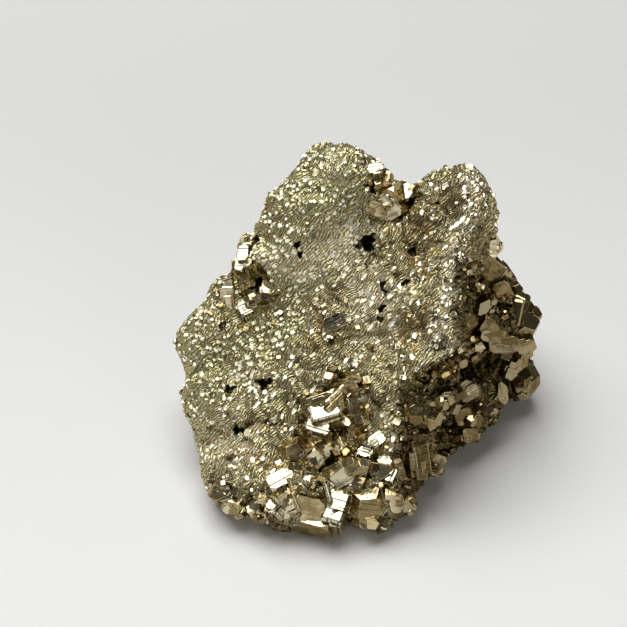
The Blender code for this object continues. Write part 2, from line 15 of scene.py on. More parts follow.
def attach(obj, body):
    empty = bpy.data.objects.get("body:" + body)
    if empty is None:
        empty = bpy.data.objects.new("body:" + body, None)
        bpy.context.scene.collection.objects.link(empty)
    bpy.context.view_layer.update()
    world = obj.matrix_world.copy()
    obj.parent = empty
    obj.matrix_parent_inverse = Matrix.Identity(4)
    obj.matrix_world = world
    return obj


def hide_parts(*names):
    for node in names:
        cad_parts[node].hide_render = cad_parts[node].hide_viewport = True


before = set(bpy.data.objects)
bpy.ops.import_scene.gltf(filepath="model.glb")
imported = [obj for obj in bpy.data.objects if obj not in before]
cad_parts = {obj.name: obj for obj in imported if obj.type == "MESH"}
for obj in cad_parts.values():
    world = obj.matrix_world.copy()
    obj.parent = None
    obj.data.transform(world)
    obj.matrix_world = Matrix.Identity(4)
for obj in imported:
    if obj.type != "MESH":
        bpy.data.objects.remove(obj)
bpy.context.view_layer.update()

MM = 0.001
ROCK = "pyrite_mass"

# The great front face slants back at this angle, and its own axes run across, up the slope and straight out.
SLOPE = Matrix.Rotation(math.radians(50.0), 3, "X")

# What carries crystals from the axes they are listed in to the rock as it stands.
TO_STAND = Vector((0.17, 0.63, -1.6))

# The photograph's point of view.
CAMERA_ELEVATION = 40.0
CAMERA_DISTANCE = 400.0
CAMERA_TARGET = Vector((-7.53, 4.63, 21.8))
CAMERA_LENS = 138.46
CAMERA_NEAREST = 10.0

CRUST_GRID = 0.17
SOFTENING_ROUNDS = 6

# The slabs of the near side, how much of the far side's grid is kept, and where the far side begins.
CRUST_SLABS = 4
FAR_SIDE_SHARE = 0.25
FAR_SIDE_BEGINS = -0.28
ROCK_MIDDLE = Vector((0, 2, 20))

# How far the crust sinks under a crystal's faces, and how far from them it gets its full grain.
TUCK_DEPTH = 0.35
TUCK_MARGIN = 0.12
GRAIN_RETURNS = 0.7
AMONG_ENDS = 2.6

# Crystals that grew clean, with few smaller ones joined to them, by the start of their names.
CLEAN_CRYSTALS = ("flank", "edge", "side", "knob", "foot")

# Crystals with deep striations, by the start of their names, and how far apart two crystals' striations lie.
STRIATED_CRYSTALS = (
    "foot_white", "foot_ridge", "pocket_bright", "bright_low", "white_edge", "left_white", "rim_white",
    "middle_white", "notch_white", "break_white", "centre_striped",
)
LINES_APART = 37.0

# Smaller crystals joined to each large one: how many on clean ones, on the rest and on top, their size beside
# it, how far they lean in degrees, stand aside and reach. Then the wear of every edge.
JOINED_CLEAN = 2
JOINED_REST = 5
JOINED_ON_TOP = 2
JOINED_SIZES = (0.4, 0.75)
JOINED_LEAN = (3, 17)
JOINED_ASIDE = (0.55, 0.9)
JOINED_REACH = (1.0, 1.1)
EDGE_WEAR = 0.04

# Small crystals on the crust: spacing, half sizes, rarity of large ones, how far drawn out and raised.
SMALL_SPACING = 0.9
SMALL_LEAST = 0.2
SMALL_MOST = 0.85
SMALL_RARITY = 1.6
SMALL_STRETCH = (0.5, 1.3)
SMALL_RISE = 0.2

# Shares of their places that are taken: anywhere, more where the crust is broken, fewer on the flank.
TAKEN_ANYWHERE = 0.03
TAKEN_BROKEN = 0.36
FEWER_ON_SHADED_FLANK = 0.75

# The share of small crystals that grew nearly parallel, and how far they stray.
PARALLEL_SHARE = 0.5
PARALLEL_WANDER = 0.3

# The crust's relief: width and height of lumps, domes, strokes and waves, how far the last two are drawn out,
# width and tilt of facets, chips and folds, and how far all of it is set down.
LUMP_PITCH = 3.0
LUMP_HEIGHT = 0.8
DOME_PITCH = 0.95
DOME_LEAST = 0.22
DOME_MORE = 0.2
GRAIN_REACH = 0.6
STROKE_PITCH = 0.95
STROKE_STRETCH = 2.2
STROKE_HEIGHT = 0.25
WAVE_PITCH = 1.4
WAVE_STRETCH = 4.0
WAVE_HEIGHT = 0.2
FACET_PITCH = 1.5
FACET_TILT = 1.1
CHIP_PITCH = 0.8
CHIP_TILT = 0.8
CHIPS_SHIFT = (3.0, 5.0, 7.0)
FOLD_PITCH = 2.8
FOLD_TILT = 0.45
SET_DOWN = 0.2

# Finer relief in the materials: rows of ridges, how far they bend and fray, specks, splinters, and streaks.
ROWS_PER_MM = 14.0
ROWS_BEND = 26.0
ROWS_FRAY = 7.0
SPECK_PITCH = 0.4
SPECK_REACH = 0.7
SPLINTER_PITCH = 0.6
STREAKS_SHIFT = (9.0, 4.0, 2.0)

# How the edges of areas wander, and how far everything is stirred.
WANDER_PITCH = 7.0
WANDER = 7.0
FLANK_WANDER = 4.0
CREST_WANDER = 3.0
SWIRL_PITCH = 4.0
SWIRL = 2.0

# A grain's random numbers come as a colour: the first, the second, and the middle of all.
FIRST_DRAW = (1.0, 0.0, 0.0)
SECOND_DRAW = (0.0, 1.0, 0.0)
MIDDLE_DRAW = (0.5, 0.5, 0.5)

# Colours of the crust: tips, warm patches, domes, pale and brown patches that are partly wear and stains and
# partly painted light and shade, the pale one also the crest's painted highlight, painted shade in the gaps,
# and clean flat grains.
BRASS = (0.75, 0.68, 0.40, 1)
WARM_BRASS = (0.78, 0.60, 0.30, 1)
DOME_OLIVE = (0.65, 0.605, 0.33, 1)
PALE_BRASS_AND_HIGHLIGHT = (0.94, 0.85, 0.58, 1)
STAIN_AND_SHADE_BROWN = (0.42, 0.33, 0.17, 1)
GAP_SHADE_BROWN = (0.11, 0.09, 0.045, 1)
GRAIN_FACE = (0.67, 0.64, 0.51, 1)

# Colours of crystal faces: clean, warm with tarnish, under a brown film, and seen at a grazing angle.
CLEAN_FACE = (0.68, 0.62, 0.43, 1)
WARM_FACE = (0.68, 0.54, 0.30, 1)
FACE_FILM = (0.30, 0.23, 0.11, 1)
GRAZING_TINT = (0.9, 0.8, 0.6, 1)

# What the painted shade of the right flank leaves of each colour.
CRUST_FLANK_SHADE = (0.40, 0.35, 0.26)
FACE_FLANK_SHADE = (0.52, 0.48, 0.41)

# The studio: half the floor's side in metres, its paper far and near, painted darker far off and lighter near
# as painted light, the lights and the wall of light.
FLOOR_HALF = 3.0
PAPER_FAR_SHADED = (0.71, 0.70, 0.69, 1)
PAPER_NEAR_LIT = (0.91, 0.90, 0.89, 1)
KEY_TOWARDS = (-0.22, 0.27, 0.93)
KEY_COLOUR = (0.97, 0.985, 1.0)
FILL_TOWARDS = (0.5, -0.8, 0.35)
WALL_LOW = (0.28, 0.27, 0.245, 1)
WALL_HIGH = (0.08, 0.077, 0.067, 1)

# Crystal faces, as distances from the middle of a cube of half size 1.
CORNER_CUT = 1.5
EDGE_CUT = 1.24
PYRITOHEDRON_FACE = 0.96
BLOCK_SIZE = 2.6
PYRITOHEDRON_TILT = math.atan(0.5)

# Crystals seen on the front: name, form, centre, half sizes along its edges, across and out, the way its top
# face looks, and the way its long edges run. All in the axes of the front face.
FRONT_CRYSTALS = [
    ("foot_large", "cornered", (-8, -9.9, 23.5), (2.6, 2.4, 2.7), (-0.2, -0.42, 0.88), (0.95, -0.25, 0.2)),
    ("foot_ridge", "cornered", (-5.6, -10.6, 24.3), (3.3, 0.5, 1.8), (0.5, 0.1, 0.86), (0.32, -0.95, 0)),
    ("foot_white", "bevelled", (-4, -11.6, 23.8), (1.8, 2.8, 2.5), (-0.05, 0.5, 0.86), (0.95, -0.25, 0.2)),
    ("foot_strip", "cornered", (-7.8, -13.4, 23.2), (3.2, 1.2, 2), (-0.16, 0.55, 0.82), (0.93, -0.37, 0)),
    ("foot_cube", "pyritohedron", (1.1, -10, 23.2), (3.2, 3, 2.9), (-0.03, -0.36, 0.93), (1, -0.1, 0)),
    ("rim_crystal", "pyritohedron", (3.4, -5, 23.1), (2.1, 2, 2), (-0.15, 0.2, 0.97), (0.8, -0.4, 0)),
    ("rim_white", "cornered", (4.9, -5.9, 23.8), (1.3, 0.8, 1.3), (-0.16, 0.5, 0.85), (0.3, 0.95, 0)),
    ("rim_upper", "cornered", (4, -3.7, 23.8), (1.2, 0.7, 1.2), (-0.2, 0.6, 0.77), (0.9, -0.4, 0)),
    ("lens", "pyritohedron", (-3.9, -5.9, 22.7), (4, 2.2, 2), (0.1, -0.2, 0.97), (0.8, 0.6, 0)),
    ("lens_gold", "cornered", (-2.2, -7.4, 23.7), (0.9, 0.6, 0.9), (0.1, -0.45, 0.88), (0.8, 0.6, 0)),
    ("pocket_bright", "bevelled", (-5.6, 3.9, 20.9), (2.7, 1.5, 2), (-0.16, 0.55, 0.82), (0.95, 0.25, 0)),
    ("bright_low", "cornered", (-6.7, 1.6, 21), (1.9, 1.1, 1.6), (-0.22, 0.48, 0.85), (0.9, -0.3, 0.3)),
    ("white_edge", "cornered", (-2.4, 2.5, 20.8), (1.1, 0.7, 1.3), (-0.1, 0.55, 0.83), (0.7, -0.7, 0)),
    ("pocket_brown", "bevelled", (-1.1, 4.2, 20), (1.8, 2, 2.2), (0.5, 0.1, 0.86), (0.9, 0.2, -0.5)),
    ("brown_low", "cornered", (-1.6, 0.6, 19.8), (1.4, 2.1, 1.9), (0.45, -0.1, 0.89), (0.9, 0.1, -0.4)),
    ("pocket_grey", "pyritohedron", (-6.2, -1.1, 20.7), (2.1, 1.6, 1.8), (0.05, -0.38, 0.92), (1, 0.2, 0)),
    ("grey_right", "pyritohedron", (-3.3, -1.1, 20.6), (1.8, 1.7, 1.8), (0.25, -0.36, 0.9), (0.8, 0.6, 0)),
    ("ledge_blade", "bevelled", (-3.3, 7.3, 20.3), (3.3, 1.7, 1.7), (0.4, -0.12, 0.91), (0.75, 0.62, 0)),
    ("ledge_left", "cornered", (-6.7, 6.5, 20.3), (2.8, 1.2, 1.5), (-0.15, -0.25, 0.96), (0.93, 0.36, 0)),
    ("ledge_upper", "cornered", (-2.6, 8.9, 20.4), (3, 1.1, 1.3), (-0.4, -0.5, 0.77), (0.85, 0.5, 0)),
    ("round_a", "pyritohedron", (-10.4, -1.8, 21.1), (2.3, 2.1, 2.2), (-0.2, -0.1, 0.97), (1, 0.3, 0)),
    ("round_b", "cornered", (-8.1, -2.5, 22), (1.4, 1.5, 1.6), (0.3, -0.4, 0.87), (0.7, -0.7, 0)),
    ("round_c", "pyritohedron", (-9.1, -5.1, 23), (2, 1.8, 1.9), (0.4, 0.2, 0.9), (0.3, 1, 0)),
    ("left_white", "cornered", (-12.9, -6.9, 24.2), (2, 1.4, 1.8), (-0.16, 0.55, 0.82), (0.8, 0.5, 0)),
    ("left_white_low", "cornered", (-13.3, -10.6, 24.3), (1.6, 1.3, 1.5), (-0.25, 0.5, 0.83), (0.5, 0.9, 0)),
    ("brown_stripes", "bevelled", (-11, -7.8, 24.2), (1.4, 2.4, 1.9), (0.5, -0.1, 0.86), (1, 0.2, 0)),
    ("tan_blade", "cornered", (-11.5, -10.5, 24.2), (1.9, 1, 1.6), (0.1, -0.42, 0.9), (0.85, 0.5, 0)),
    ("left_point", "pyritohedron", (-20.2, -10.2, 21.8), (1.9, 1.7, 1.7), (-0.1, 0.5, 0.86), (0.3, 1, 0)),
    ("left_foot_small", "cornered", (-22.3, -8.6, 21.5), (1.4, 1.2, 1.3), (-0.4, 0.3, 0.87), (1, 0.3, 0)),
    ("corner_gold", "cornered", (5.4, -9.6, 23.2), (1, 1.5, 1.5), (0.1, -0.42, 0.9), (1, 0.2, 0)),
    ("corner_gold_low", "pyritohedron", (7, -10.3, 21.9), (1.5, 1.4, 1.4), (0.3, -0.4, 0.87), (1, 0.2, 0)),
    ("middle_round", "pyritohedron", (9.5, 5, 23.5), (2.9, 2.7, 2.6), (-0.1, 0.25, 0.96), (0.2, 1, 0)),
    ("middle_flat", "cornered", (13.1, 6.9, 23.2), (1.7, 1, 1.4), (0.1, -0.4, 0.91), (0.97, 0.2, 0)),
    ("middle_column", "bevelled", (8.9, -2.6, 23.2), (1.5, 2.8, 1.9), (0.5, -0.15, 0.85), (1, 0.15, 0)),
    ("middle_edge", "cornered", (6.2, -4.6, 22.9), (1.1, 1.6, 1.4), (-0.2, -0.3, 0.93), (1, 0.3, 0)),
    ("middle_white", "cornered", (2.7, -0.4, 23), (1.4, 1.1, 1.3), (-0.16, 0.55, 0.82), (0.7, 0.7, 0)),
    ("middle_white_low", "cornered", (1, -2.2, 22.8), (1.1, 0.9, 1.2), (-0.25, 0.5, 0.83), (1, -0.5, 0)),
    ("middle_low", "cornered", (11.6, -3.9, 14), (1.7, 1.6, 1.6), (0.6, 0.3, 0.74), (0.5, 1, 0)),
    ("lobe_gold", "cornered", (16.9, 4.2, 11.9), (1.4, 1.3, 1.4), (0.2, -0.42, 0.88), (1, 0.4, 0)),
    ("lobe_white", "pyritohedron", (19, 3.2, 11.5), (1.6, 1.5, 1.5), (-0.16, 0.55, 0.82), (0.6, 0.8, 0)),
    ("lobe_low", "cornered", (18, 0.7, 10.9), (1.3, 1.2, 1.3), (0.3, -0.3, 0.9), (1, 0.1, 0)),
    ("lobe_upper", "cornered", (17.4, 7.9, 13.2), (1.7, 1.5, 1.5), (0.4, -0.2, 0.89), (1, 0.5, 0)),
    ("flank_striated", "bevelled", (21.3, 28, 11.1), (2.6, 1.8, 1.9), (0.3, -0.22, 0.93), (0.8, -0.6, 0)),
    ("flank_gold", "cornered", (23.8, 24.5, 10.5), (2.3, 1.5, 1.9), (0.05, -0.42, 0.91), (0.4, -0.91, 0)),
    ("flank_grey", "bevelled", (20.3, 25.2, 10.8), (2, 1.5, 1.7), (0.5, 0.35, 0.79), (-0.2, 1, 0)),
    ("flank_pentagon", "pyritohedron", (20.1, 21.7, 11), (2.8, 1.9, 2.1), (0.3, -0.36, 0.88), (0.15, 1, 0)),
    ("flank_tan_small", "cornered", (17.2, 19.4, 20.4), (1.3, 1.2, 1.5), (0.1, -0.4, 0.91), (0.7, 0.7, 0)),
    ("flank_tan_low", "cornered", (22, 18.6, 10.3), (2.3, 1.6, 2.1), (0.1, -0.38, 0.92), (0.85, -0.5, 0)),
    ("flank_point", "pyritohedron", (27.1, 18.9, 9), (2.9, 2.4, 2.6), (0.45, 0.3, 0.84), (0.3, -0.95, 0)),
    ("flank_point_low", "cornered", (27.6, 15.7, 9), (1.6, 1.2, 1.8), (0.1, -0.45, 0.89), (1, 0.4, 0)),
    ("flank_brown", "bevelled", (25.6, 20.6, 10.5), (2.3, 1.8, 1.8), (-0.3, 0.1, 0.95), (0.2, 1, 0)),
    ("flank_shelf", "cornered", (24.1, 15.8, 9.4), (2.6, 1.4, 1.7), (0, -0.36, 0.93), (1, 0.1, 0)),
    ("flank_rounded", "pyritohedron", (25.8, 12.5, 5.4), (2.4, 2.3, 2.5), (0, -0.36, 0.93), (0.9, -0.3, 0)),
    ("knob_crystal", "pyritohedron", (28, 9.3, 0.9), (2.6, 2.5, 2.5), (-0.2, -0.35, 0.91), (0.9, 0.3, 0)),
    ("edge_upper", "cornered", (21.3, 28.3, 8.1), (2.1, 1.8, 1.9), (0.3, 0.3, 0.9), (0.6, -0.8, 0)),
    ("edge_middle", "cornered", (22.6, 26.9, 8.8), (2, 2.1, 1.8), (-0.2, 0.3, 0.92), (0.6, 0.8, 0)),
    ("edge_lower", "pyritohedron", (25.2, 24.3, 9.9), (1.8, 1.7, 1.7), (0.4, 0.3, 0.86), (0.9, 0.2, 0)),
    ("edge_lowest", "cornered", (26.4, 22.3, 10.3), (1.6, 1.5, 1.5), (0.2, 0.1, 0.97), (0.3, 0.9, 0)),
    ("notch_crystal", "cornered", (5.1, 39.1, 15.9), (2.2, 2.2, 2.3), (-0.4, -0.3, 0.87), (0.8, 0.3, 0.5)),
    ("notch_bright", "cornered", (4.4, 38.3, 17.1), (1, 0.9, 1.3), (-0.16, 0.55, 0.82), (0.8, 0.6, 0)),
    ("notch_tan", "cornered", (2.9, 38.2, 16.4), (1.7, 1.3, 1.5), (-0.1, -0.4, 0.91), (0.9, -0.3, 0)),
    ("notch_small", "pyritohedron", (3.5, 42, 17.1), (1.4, 1.3, 1.4), (-0.2, 0.4, 0.89), (1, 0.4, 0)),
    ("notch_white", "cornered", (2.4, 43.5, 18.4), (1.2, 0.9, 1.3), (-0.16, 0.55, 0.82), (1, 0.1, 0)),
    ("notch_far", "cornered", (7.8, 40.1, 14.6), (1.3, 1.1, 1.4), (-0.2, 0.4, 0.9), (0.5, 0.9, 0)),
    ("break_block", "pyritohedron", (-16.4, 22.2, 13.7), (2.1, 1.5, 1.9), (0.1, 0.3, 0.95), (1, 0.2, 0)),
    ("break_tall", "bevelled", (-21.6, 23.7, 12.2), (1, 1.9, 1.4), (-0.1, -0.38, 0.92), (1, 0.1, 0)),
    ("break_white", "cornered", (-18.6, 28.8, 14.8), (1.2, 1.9, 1.8), (-0.16, 0.55, 0.82), (1, -0.2, 0)),
    ("break_prism", "cornered", (-15.3, 24.7, 14.8), (1, 1.6, 1.3), (0.1, 0.45, 0.89), (1, -0.1, 0)),
    ("break_round", "pyritohedron", (-18.7, 26, 13.6), (1.3, 1.2, 1.4), (0, -0.4, 0.92), (1, 0.3, 0)),
    ("break_white_low", "cornered", (-18.6, 20.9, 13.4), (1.2, 1.4, 1.4), (-0.2, 0.5, 0.84), (1, 0.5, 0)),
    ("centre_striped", "cornered", (-3.8, 19, 18.5), (1.8, 1.2, 1.4), (-0.3, 0.1, 0.95), (1, 0.4, 0)),
]

# Crystals on the other sides, in the same order, in the axes of the cluster itself.
SIDE_CRYSTALS = [
    ("side_upper", "pyritohedron", (21.5, 13, 30.2), (2.2, 2, 2), (0.9, 0, 0.4), (0, 0.5, 1)),
    ("side_pair_upper", "cornered", (23.7, 13.2, 23.4), (2.3, 1.9, 2), (0.8, 0.5, 0.3), (0, 0.7, 0.7)),
    ("side_pair_lower", "bevelled", (23, 17.2, 21), (2.3, 1.8, 1.8), (0.9, 0.2, 0.4), (0, 1, -0.3)),
    ("side_middle", "pyritohedron", (26.2, 12.6, 16), (2.6, 2.3, 2.3), (0.95, 0.1, 0.3), (0.2, 1, 0.4)),
    ("side_low", "cornered", (25.2, 17.6, 13.4), (2.4, 2, 2), (0.8, 0.5, 0.1), (0, 0.4, 1)),
    ("side_lowest", "bevelled", (26, 12.6, 8.6), (2.2, 1.8, 1.8), (0.9, 0.4, -0.1), (0.3, 0, 1)),
    ("side_back", "pyritohedron", (22.7, 22, 15.6), (2.5, 2.2, 2.2), (0.8, 0.6, 0.2), (0, 0.2, 1)),
    ("side_foot", "cornered", (24.9, 17.2, 6.6), (2, 1.7, 1.8), (0.9, 0.3, 0.3), (0, 1, 0.6)),
    ("side_front_upper", "bevelled", (15.6, 2.2, 23.4), (2.2, 1.7, 1.7), (0.95, 0.1, 0.2), (0, 0.8, 0.6)),
    ("side_front_middle", "pyritohedron", (18.7, 2.2, 16.8), (2.2, 1.9, 1.9), (0.7, -0.3, 0.6), (0.3, 1, 0)),
    ("side_front_low", "cornered", (22.6, -2.6, 11.2), (1.8, 1.5, 1.6), (0.8, -0.3, 0.5), (0, 1, 0.3)),
    ("side_front_foot", "cornered", (12.7, -13.4, 6.4), (1.8, 1.6, 1.6), (0.9, -0.3, -0.2), (0, 0.4, 1)),
    ("side_crest", "cornered", (14.3, -3, 20.2), (2, 1.6, 1.6), (0.8, -0.5, 0.1), (0, 0.6, 0.8)),
    ("back_upper", "cornered", (-5, 21.2, 39), (2.3, 1.9, 2), (-0.4, 0.9, 0.1), (0.3, 0, 1)),
    ("back_shoulder", "pyritohedron", (-11, 19.4, 34), (2, 1.8, 1.8), (-0.4, 0.9, 0.2), (1, 0, 0.4)),
    ("back_left_high", "pyritohedron", (-12, 24.2, 17.6), (2.7, 2.4, 2.4), (-0.3, 0.9, 0.3), (1, 0.2, 0)),
    ("back_left_low", "bevelled", (-16, 21.8, 12.6), (2.3, 1.8, 1.8), (-0.5, 0.8, -0.1), (0.3, 0, 1)),
    ("back_left_side", "cornered", (-8.6, 23.4, 22), (1.9, 1.7, 1.7), (0.2, 0.9, 0.3), (1, 0, -0.6)),
    ("back_middle", "cornered", (-2.6, 22.4, 14.2), (2.6, 2.1, 2.2), (0, 0.95, 0.2), (0.7, 0, 0.7)),
    ("back_middle_low", "pyritohedron", (2.2, 23.2, 9.4), (2.2, 2, 2), (-0.2, 0.95, 0.1), (1, 0, 0.2)),
    ("back_right_high", "bevelled", (9.6, 25, 17.8), (2.8, 2.1, 2.1), (-0.1, 0.9, 0.4), (0.6, 0, 0.8)),
    ("back_right_low", "cornered", (13.2, 24.2, 13), (2.1, 1.9, 1.9), (0.3, 0.9, -0.1), (0.2, 0, 1)),
    ("back_right_side", "pyritohedron", (17.2, 23.4, 21.4), (2.3, 2, 2), (0.3, 0.8, 0.5), (1, 0, 0)),
    ("back_cleft", "cornered", (1.6, 20.4, 28), (2.1, 1.8, 1.9), (0, 0.95, 0.3), (0.8, 0, 0.5)),
    ("back_cleft_upper", "pyritohedron", (6.8, 19.6, 31.6), (1.9, 1.7, 1.8), (0.2, 0.9, 0.4), (0, 0, 1)),
    ("back_peak", "cornered", (14.6, 18.8, 36.8), (1.8, 1.6, 1.7), (0.1, 0.9, 0.4), (1, 0, 0.5)),
    ("left_side_front", "cornered", (-27, -3.8, 12), (1.9, 1.5, 1.5), (-0.9, -0.1, 0.3), (0, 1, 0.4)),
    ("left_side_back", "pyritohedron", (-23.4, 10.4, 13), (2.3, 2, 2), (-0.8, 0.5, 0.3), (0, 0, 1)),
    ("left_side_high", "bevelled", (-21, 15.4, 18.6), (2.3, 1.8, 1.8), (-0.9, 0.3, 0.3), (0, 0.5, 1)),
    ("left_side_peak", "cornered", (-18.2, 11.6, 31), (1.9, 1.6, 1.7), (-0.9, 0.3, 0.2), (0, 1, 0.5)),
]

# Small dark pits in the front face: place across and up the slope, radius, depth. Only points that look this
# far out of it sink. Lobes and nicks make them ragged. Their floor and rim are shares of the radius.
PITS_FACE = 0.3
PIT_LOBES = 0.25
PIT_NICKS = 0.15
PIT_FLOOR = 0.5
PIT_RIM = 1.4
PITS = [
    (3.5, 25.4, 0.5, 1.2), (3.9, 24, 0.45, 1.1), (3.2, 21.3, 0.5, 1.2), (3.2, 19.5, 0.4, 1),
    (7.4, 25.4, 0.4, 1), (-10.4, 31.6, 0.45, 1.2), (-9.9, 30.2, 0.35, 1), (-4.9, 16.2, 0.4, 0.9),
    (8.2, 30.6, 0.45, 1.1), (-17.2, 33, 0.5, 1), (-22.6, 18.6, 0.45, 0.9), (1.8, 14.7, 0.5, 1),
    (1.2, 31.9, 1.05, 2.8), (-19.9, 1.7, 0.85, 2.2), (-15.8, 9, 0.9, 2), (-21.5, 8, 0.6, 1.5),
    (-17.1, 25.1, 0.9, 2), (1.6, 41.2, 0.7, 1.6), (5.6, 36.7, 0.8, 2), (8.6, 39, 0.5, 1.5),
]

# Pale patches and brown ones on the front face, partly wear and stains and partly painted light and shade
# where the relief leaves a place too dark or too bright: place across and up the slope, radius, how pale,
# below 0 where it is brown. They are full up to the core and end at the rim, shares of the radius.
PATCH_CORE = 0.2
PATCH_RIM = 1.2
PATCHES = [
    (1.8, 22.7, 7, 1), (-2.5, 32.5, 6, 1), (-9.9, 28.4, 4.5, 0.9), (-14.8, 29.2, 3.5, 0.7),
    (1, 2.5, 6, 1), (-19.7, 9.6, 4, 0.4), (-5, 43.9, 3, 0.6), (9.6, 33.3, 4.5, -1),
    (10, 19.5, 4, -1), (14.5, 38.9, 4.5, -0.8), (19.4, 31.7, 4, -0.8), (-16, 36, 5, -0.4),
    (-22, 20, 6, -0.4), (-8, 22, 2.5, -0.4), (-22.5, 0.5, 7, 0.6), (2.5, 17.5, 5, 0.7),
]


class Signal:
    """One socket of a material's or a modifier's nodes, which takes part in arithmetic."""

    def __init__(self, tree, socket=None):
        self.tree = tree
        self.socket = socket

    def node(self, kind, settings=None, values=None, output=0):
        """Adds a node: its settings first, then what goes into its sockets. Gives one of its outputs."""
        made = self.tree.nodes.new(kind)
        for name, value in (settings or {}).items():
            setattr(made, name, value)
        for key, value in (values or {}).items():
            if isinstance(value, Signal):
                self.tree.links.new(value.socket, made.inputs[key])
            else:
                made.inputs[key].default_value = value
        return Signal(self.tree, made.outputs[output])

    def other(self, output):
        """Another output of the same node."""
        return Signal(self.tree, self.socket.node.outputs[output])

    @property
    def is_vector(self):
        return self.socket.type in ("VECTOR", "RGBA")

    def maths(self, operation, first, second=0.0):
        return self.node("ShaderNodeMath", {"operation": operation}, {0: first, 1: second})

    def vector_maths(self, operation, first, second=None, output=0):
        values = {0: first}
        if second is not None:
            values[1] = second
        return self.node("ShaderNodeVectorMath", {"operation": operation}, values, output)

    def combine(self, operation, first, second):
        """Arithmetic on two values, or on two vectors where either side is one."""
        sides = (first, second)
        if not any(isinstance(side, Signal) and side.is_vector or isinstance(side, tuple) for side in sides):
            return self.maths(operation, first, second)
        spread = [side if isinstance(side, (Signal, tuple)) else (side,) * 3 for side in sides]
        return self.vector_maths(operation, *spread)

    def __add__(self, other):
        return self.combine("ADD", self, other)

    __radd__ = __add__

    def __sub__(self, other):
        return self.combine("SUBTRACT", self, other)

    def __rsub__(self, other):
        return self.combine("SUBTRACT", other, self)

    def __mul__(self, other):
        return self.combine("MULTIPLY", self, other)

    __rmul__ = __mul__

    def __truediv__(self, other):
        return self.combine("DIVIDE", self, other)

    def power(self, exponent):
        return self.maths("POWER", self, exponent)

    def size(self):
        return self.maths("ABSOLUTE", self)

    def at_least(self, other):
        """The larger of the two."""
        return self.maths("MAXIMUM", self, other)

    def at_most(self, ceiling):
        return self.maths("MINIMUM", self, ceiling)

    def dot(self, direction):
        return self.vector_maths("DOT_PRODUCT", self, direction, "Value")

    def lengthened(self, amount):
        """This vector times a value."""
        return self.node("ShaderNodeVectorMath", {"operation": "SCALE"}, {"Vector": self, "Scale": amount})

    def rise(self, start, end):
        """0 up to start, 1 from end on, and a smooth rise between them."""
        limits = {"Value": self, "From Min": start, "From Max": end}
        return self.node("ShaderNodeMapRange", {"interpolation_type": "SMOOTHSTEP"}, limits)

    def colour_blend(self, first, second):
        """The first colour where this is 0, the second where it is 1."""
        return self.node("ShaderNodeMix", {"data_type": "RGBA"}, {0: self, 6: first, 7: second}, 2)

    def noise(self, pitch, detail=2.0, roughness=0.5, output=0):
        """Soft noise at this place, with lumps about as wide as pitch."""
        values = {"Vector": self, "Scale": 1 / pitch, "Detail": detail, "Roughness": roughness}
        return self.node("ShaderNodeTexNoise", {}, values, output)

    def cells(self, pitch):
        """Grains about as wide as pitch: how far this place is from the middle of its grain."""
        return self.node("ShaderNodeTexVoronoi", {}, {"Vector": self, "Scale": 1 / pitch})


def on_slope(across, up, out):
    """A point given in the axes of the front face, where the rock stands."""
    return SLOPE @ Vector((across, up, out)) + TO_STAND


ACROSS = (1.0, 0.0, 0.0)
SLOPE_UP = tuple(SLOPE @ Vector((0, 1, 0)))
SLOPE_OUT = tuple(SLOPE @ Vector((0, 0, 1)))

# The grain of the middle of the front face runs this way, and ends at a line, left of which it is domed.
GRAIN_RUNS = tuple(SLOPE @ Vector((0.64, 0.77, 0)))
DOMES_LIE = tuple(SLOPE @ Vector((-0.77, 0.64, 0)))
DOMES_BEGIN = on_slope(6.6, 36.8, 12).dot(Vector(DOMES_LIE))

# The broken foot, the ridged rib that runs down through it, the crest, which is painted paler as a highlight,
# the right flank, which is painted in shade and widens low down, and the back.
FOOT_SINKS = tuple(SLOPE @ Vector((-0.6, 1, 0)))
FOOT_BEGINS = on_slope(0, 2.5, 18).dot(Vector(FOOT_SINKS))
RIB_MIDDLE = 3.2
RIB_ENDS = on_slope(0, -5, 18).dot(Vector(SLOPE_UP))
CREST_LIES = tuple(SLOPE @ Vector((0.976, -0.218, 0)))
CREST_MIDDLE = on_slope(12.3, 16.2, 24).dot(Vector(CREST_LIES))
FLANK_BEGINS = 15.4
FLANK_WIDENS = 9.5
FLANK_ENDS = on_slope(0, 29, 12).dot(Vector(SLOPE_UP))
BACK_BEGINS = 3.0

# Most of the crust's small crystals grew parallel, with a face that looks this way.
PARALLEL_FACES = tuple(SLOPE @ Vector((-0.13, 0.51, 0.85)))

# Marks kept on the crust's points for its material and the small crystals, and the place before any relief.
MARKS = ("grain", "among", "pale", "domed", "broken", "shaded_flank", "height")
SKIN = "skin"


def zones(place, flank):
    """Where the crust is domed and where it is broken in facets, each 0 to 1. Ridges run over the rest."""
    wander = (place.noise(WANDER_PITCH) - 0.5) * WANDER
    domed = (place.dot(DOMES_LIE) - DOMES_BEGIN + wander).rise(-0.5, 3.0)
    rib = (place.dot(ACROSS) - RIB_MIDDLE + wander * 0.3).size().rise(1.5, 3.5)
    foot = (FOOT_BEGINS - place.dot(FOOT_SINKS) + wander).rise(-1.5, 2.5)
    foot = foot * rib.at_least((RIB_ENDS - place.dot(SLOPE_UP)).rise(-1.5, 1.5))
    behind = (BACK_BEGINS - place.dot(SLOPE_OUT)).rise(-2.0, 4.0)
    broken = (foot + flank + behind).at_most(1.0) * (1 - domed * 0.6)
    return domed, broken


def flank_share(place):
    """How far a place is on the right flank, which is painted in shade, 0 to 1."""
    wander = (place.noise(WANDER_PITCH) - 0.5) * FLANK_WANDER
    lower = 1 - place.dot(SLOPE_UP).rise(8.0, 15.0)
    right = (place.dot(ACROSS) - FLANK_BEGINS + lower * FLANK_WIDENS + wander).rise(-1.0, 1.5)
    return right * (FLANK_ENDS - place.dot(SLOPE_UP) + wander).rise(-2.0, 2.0)


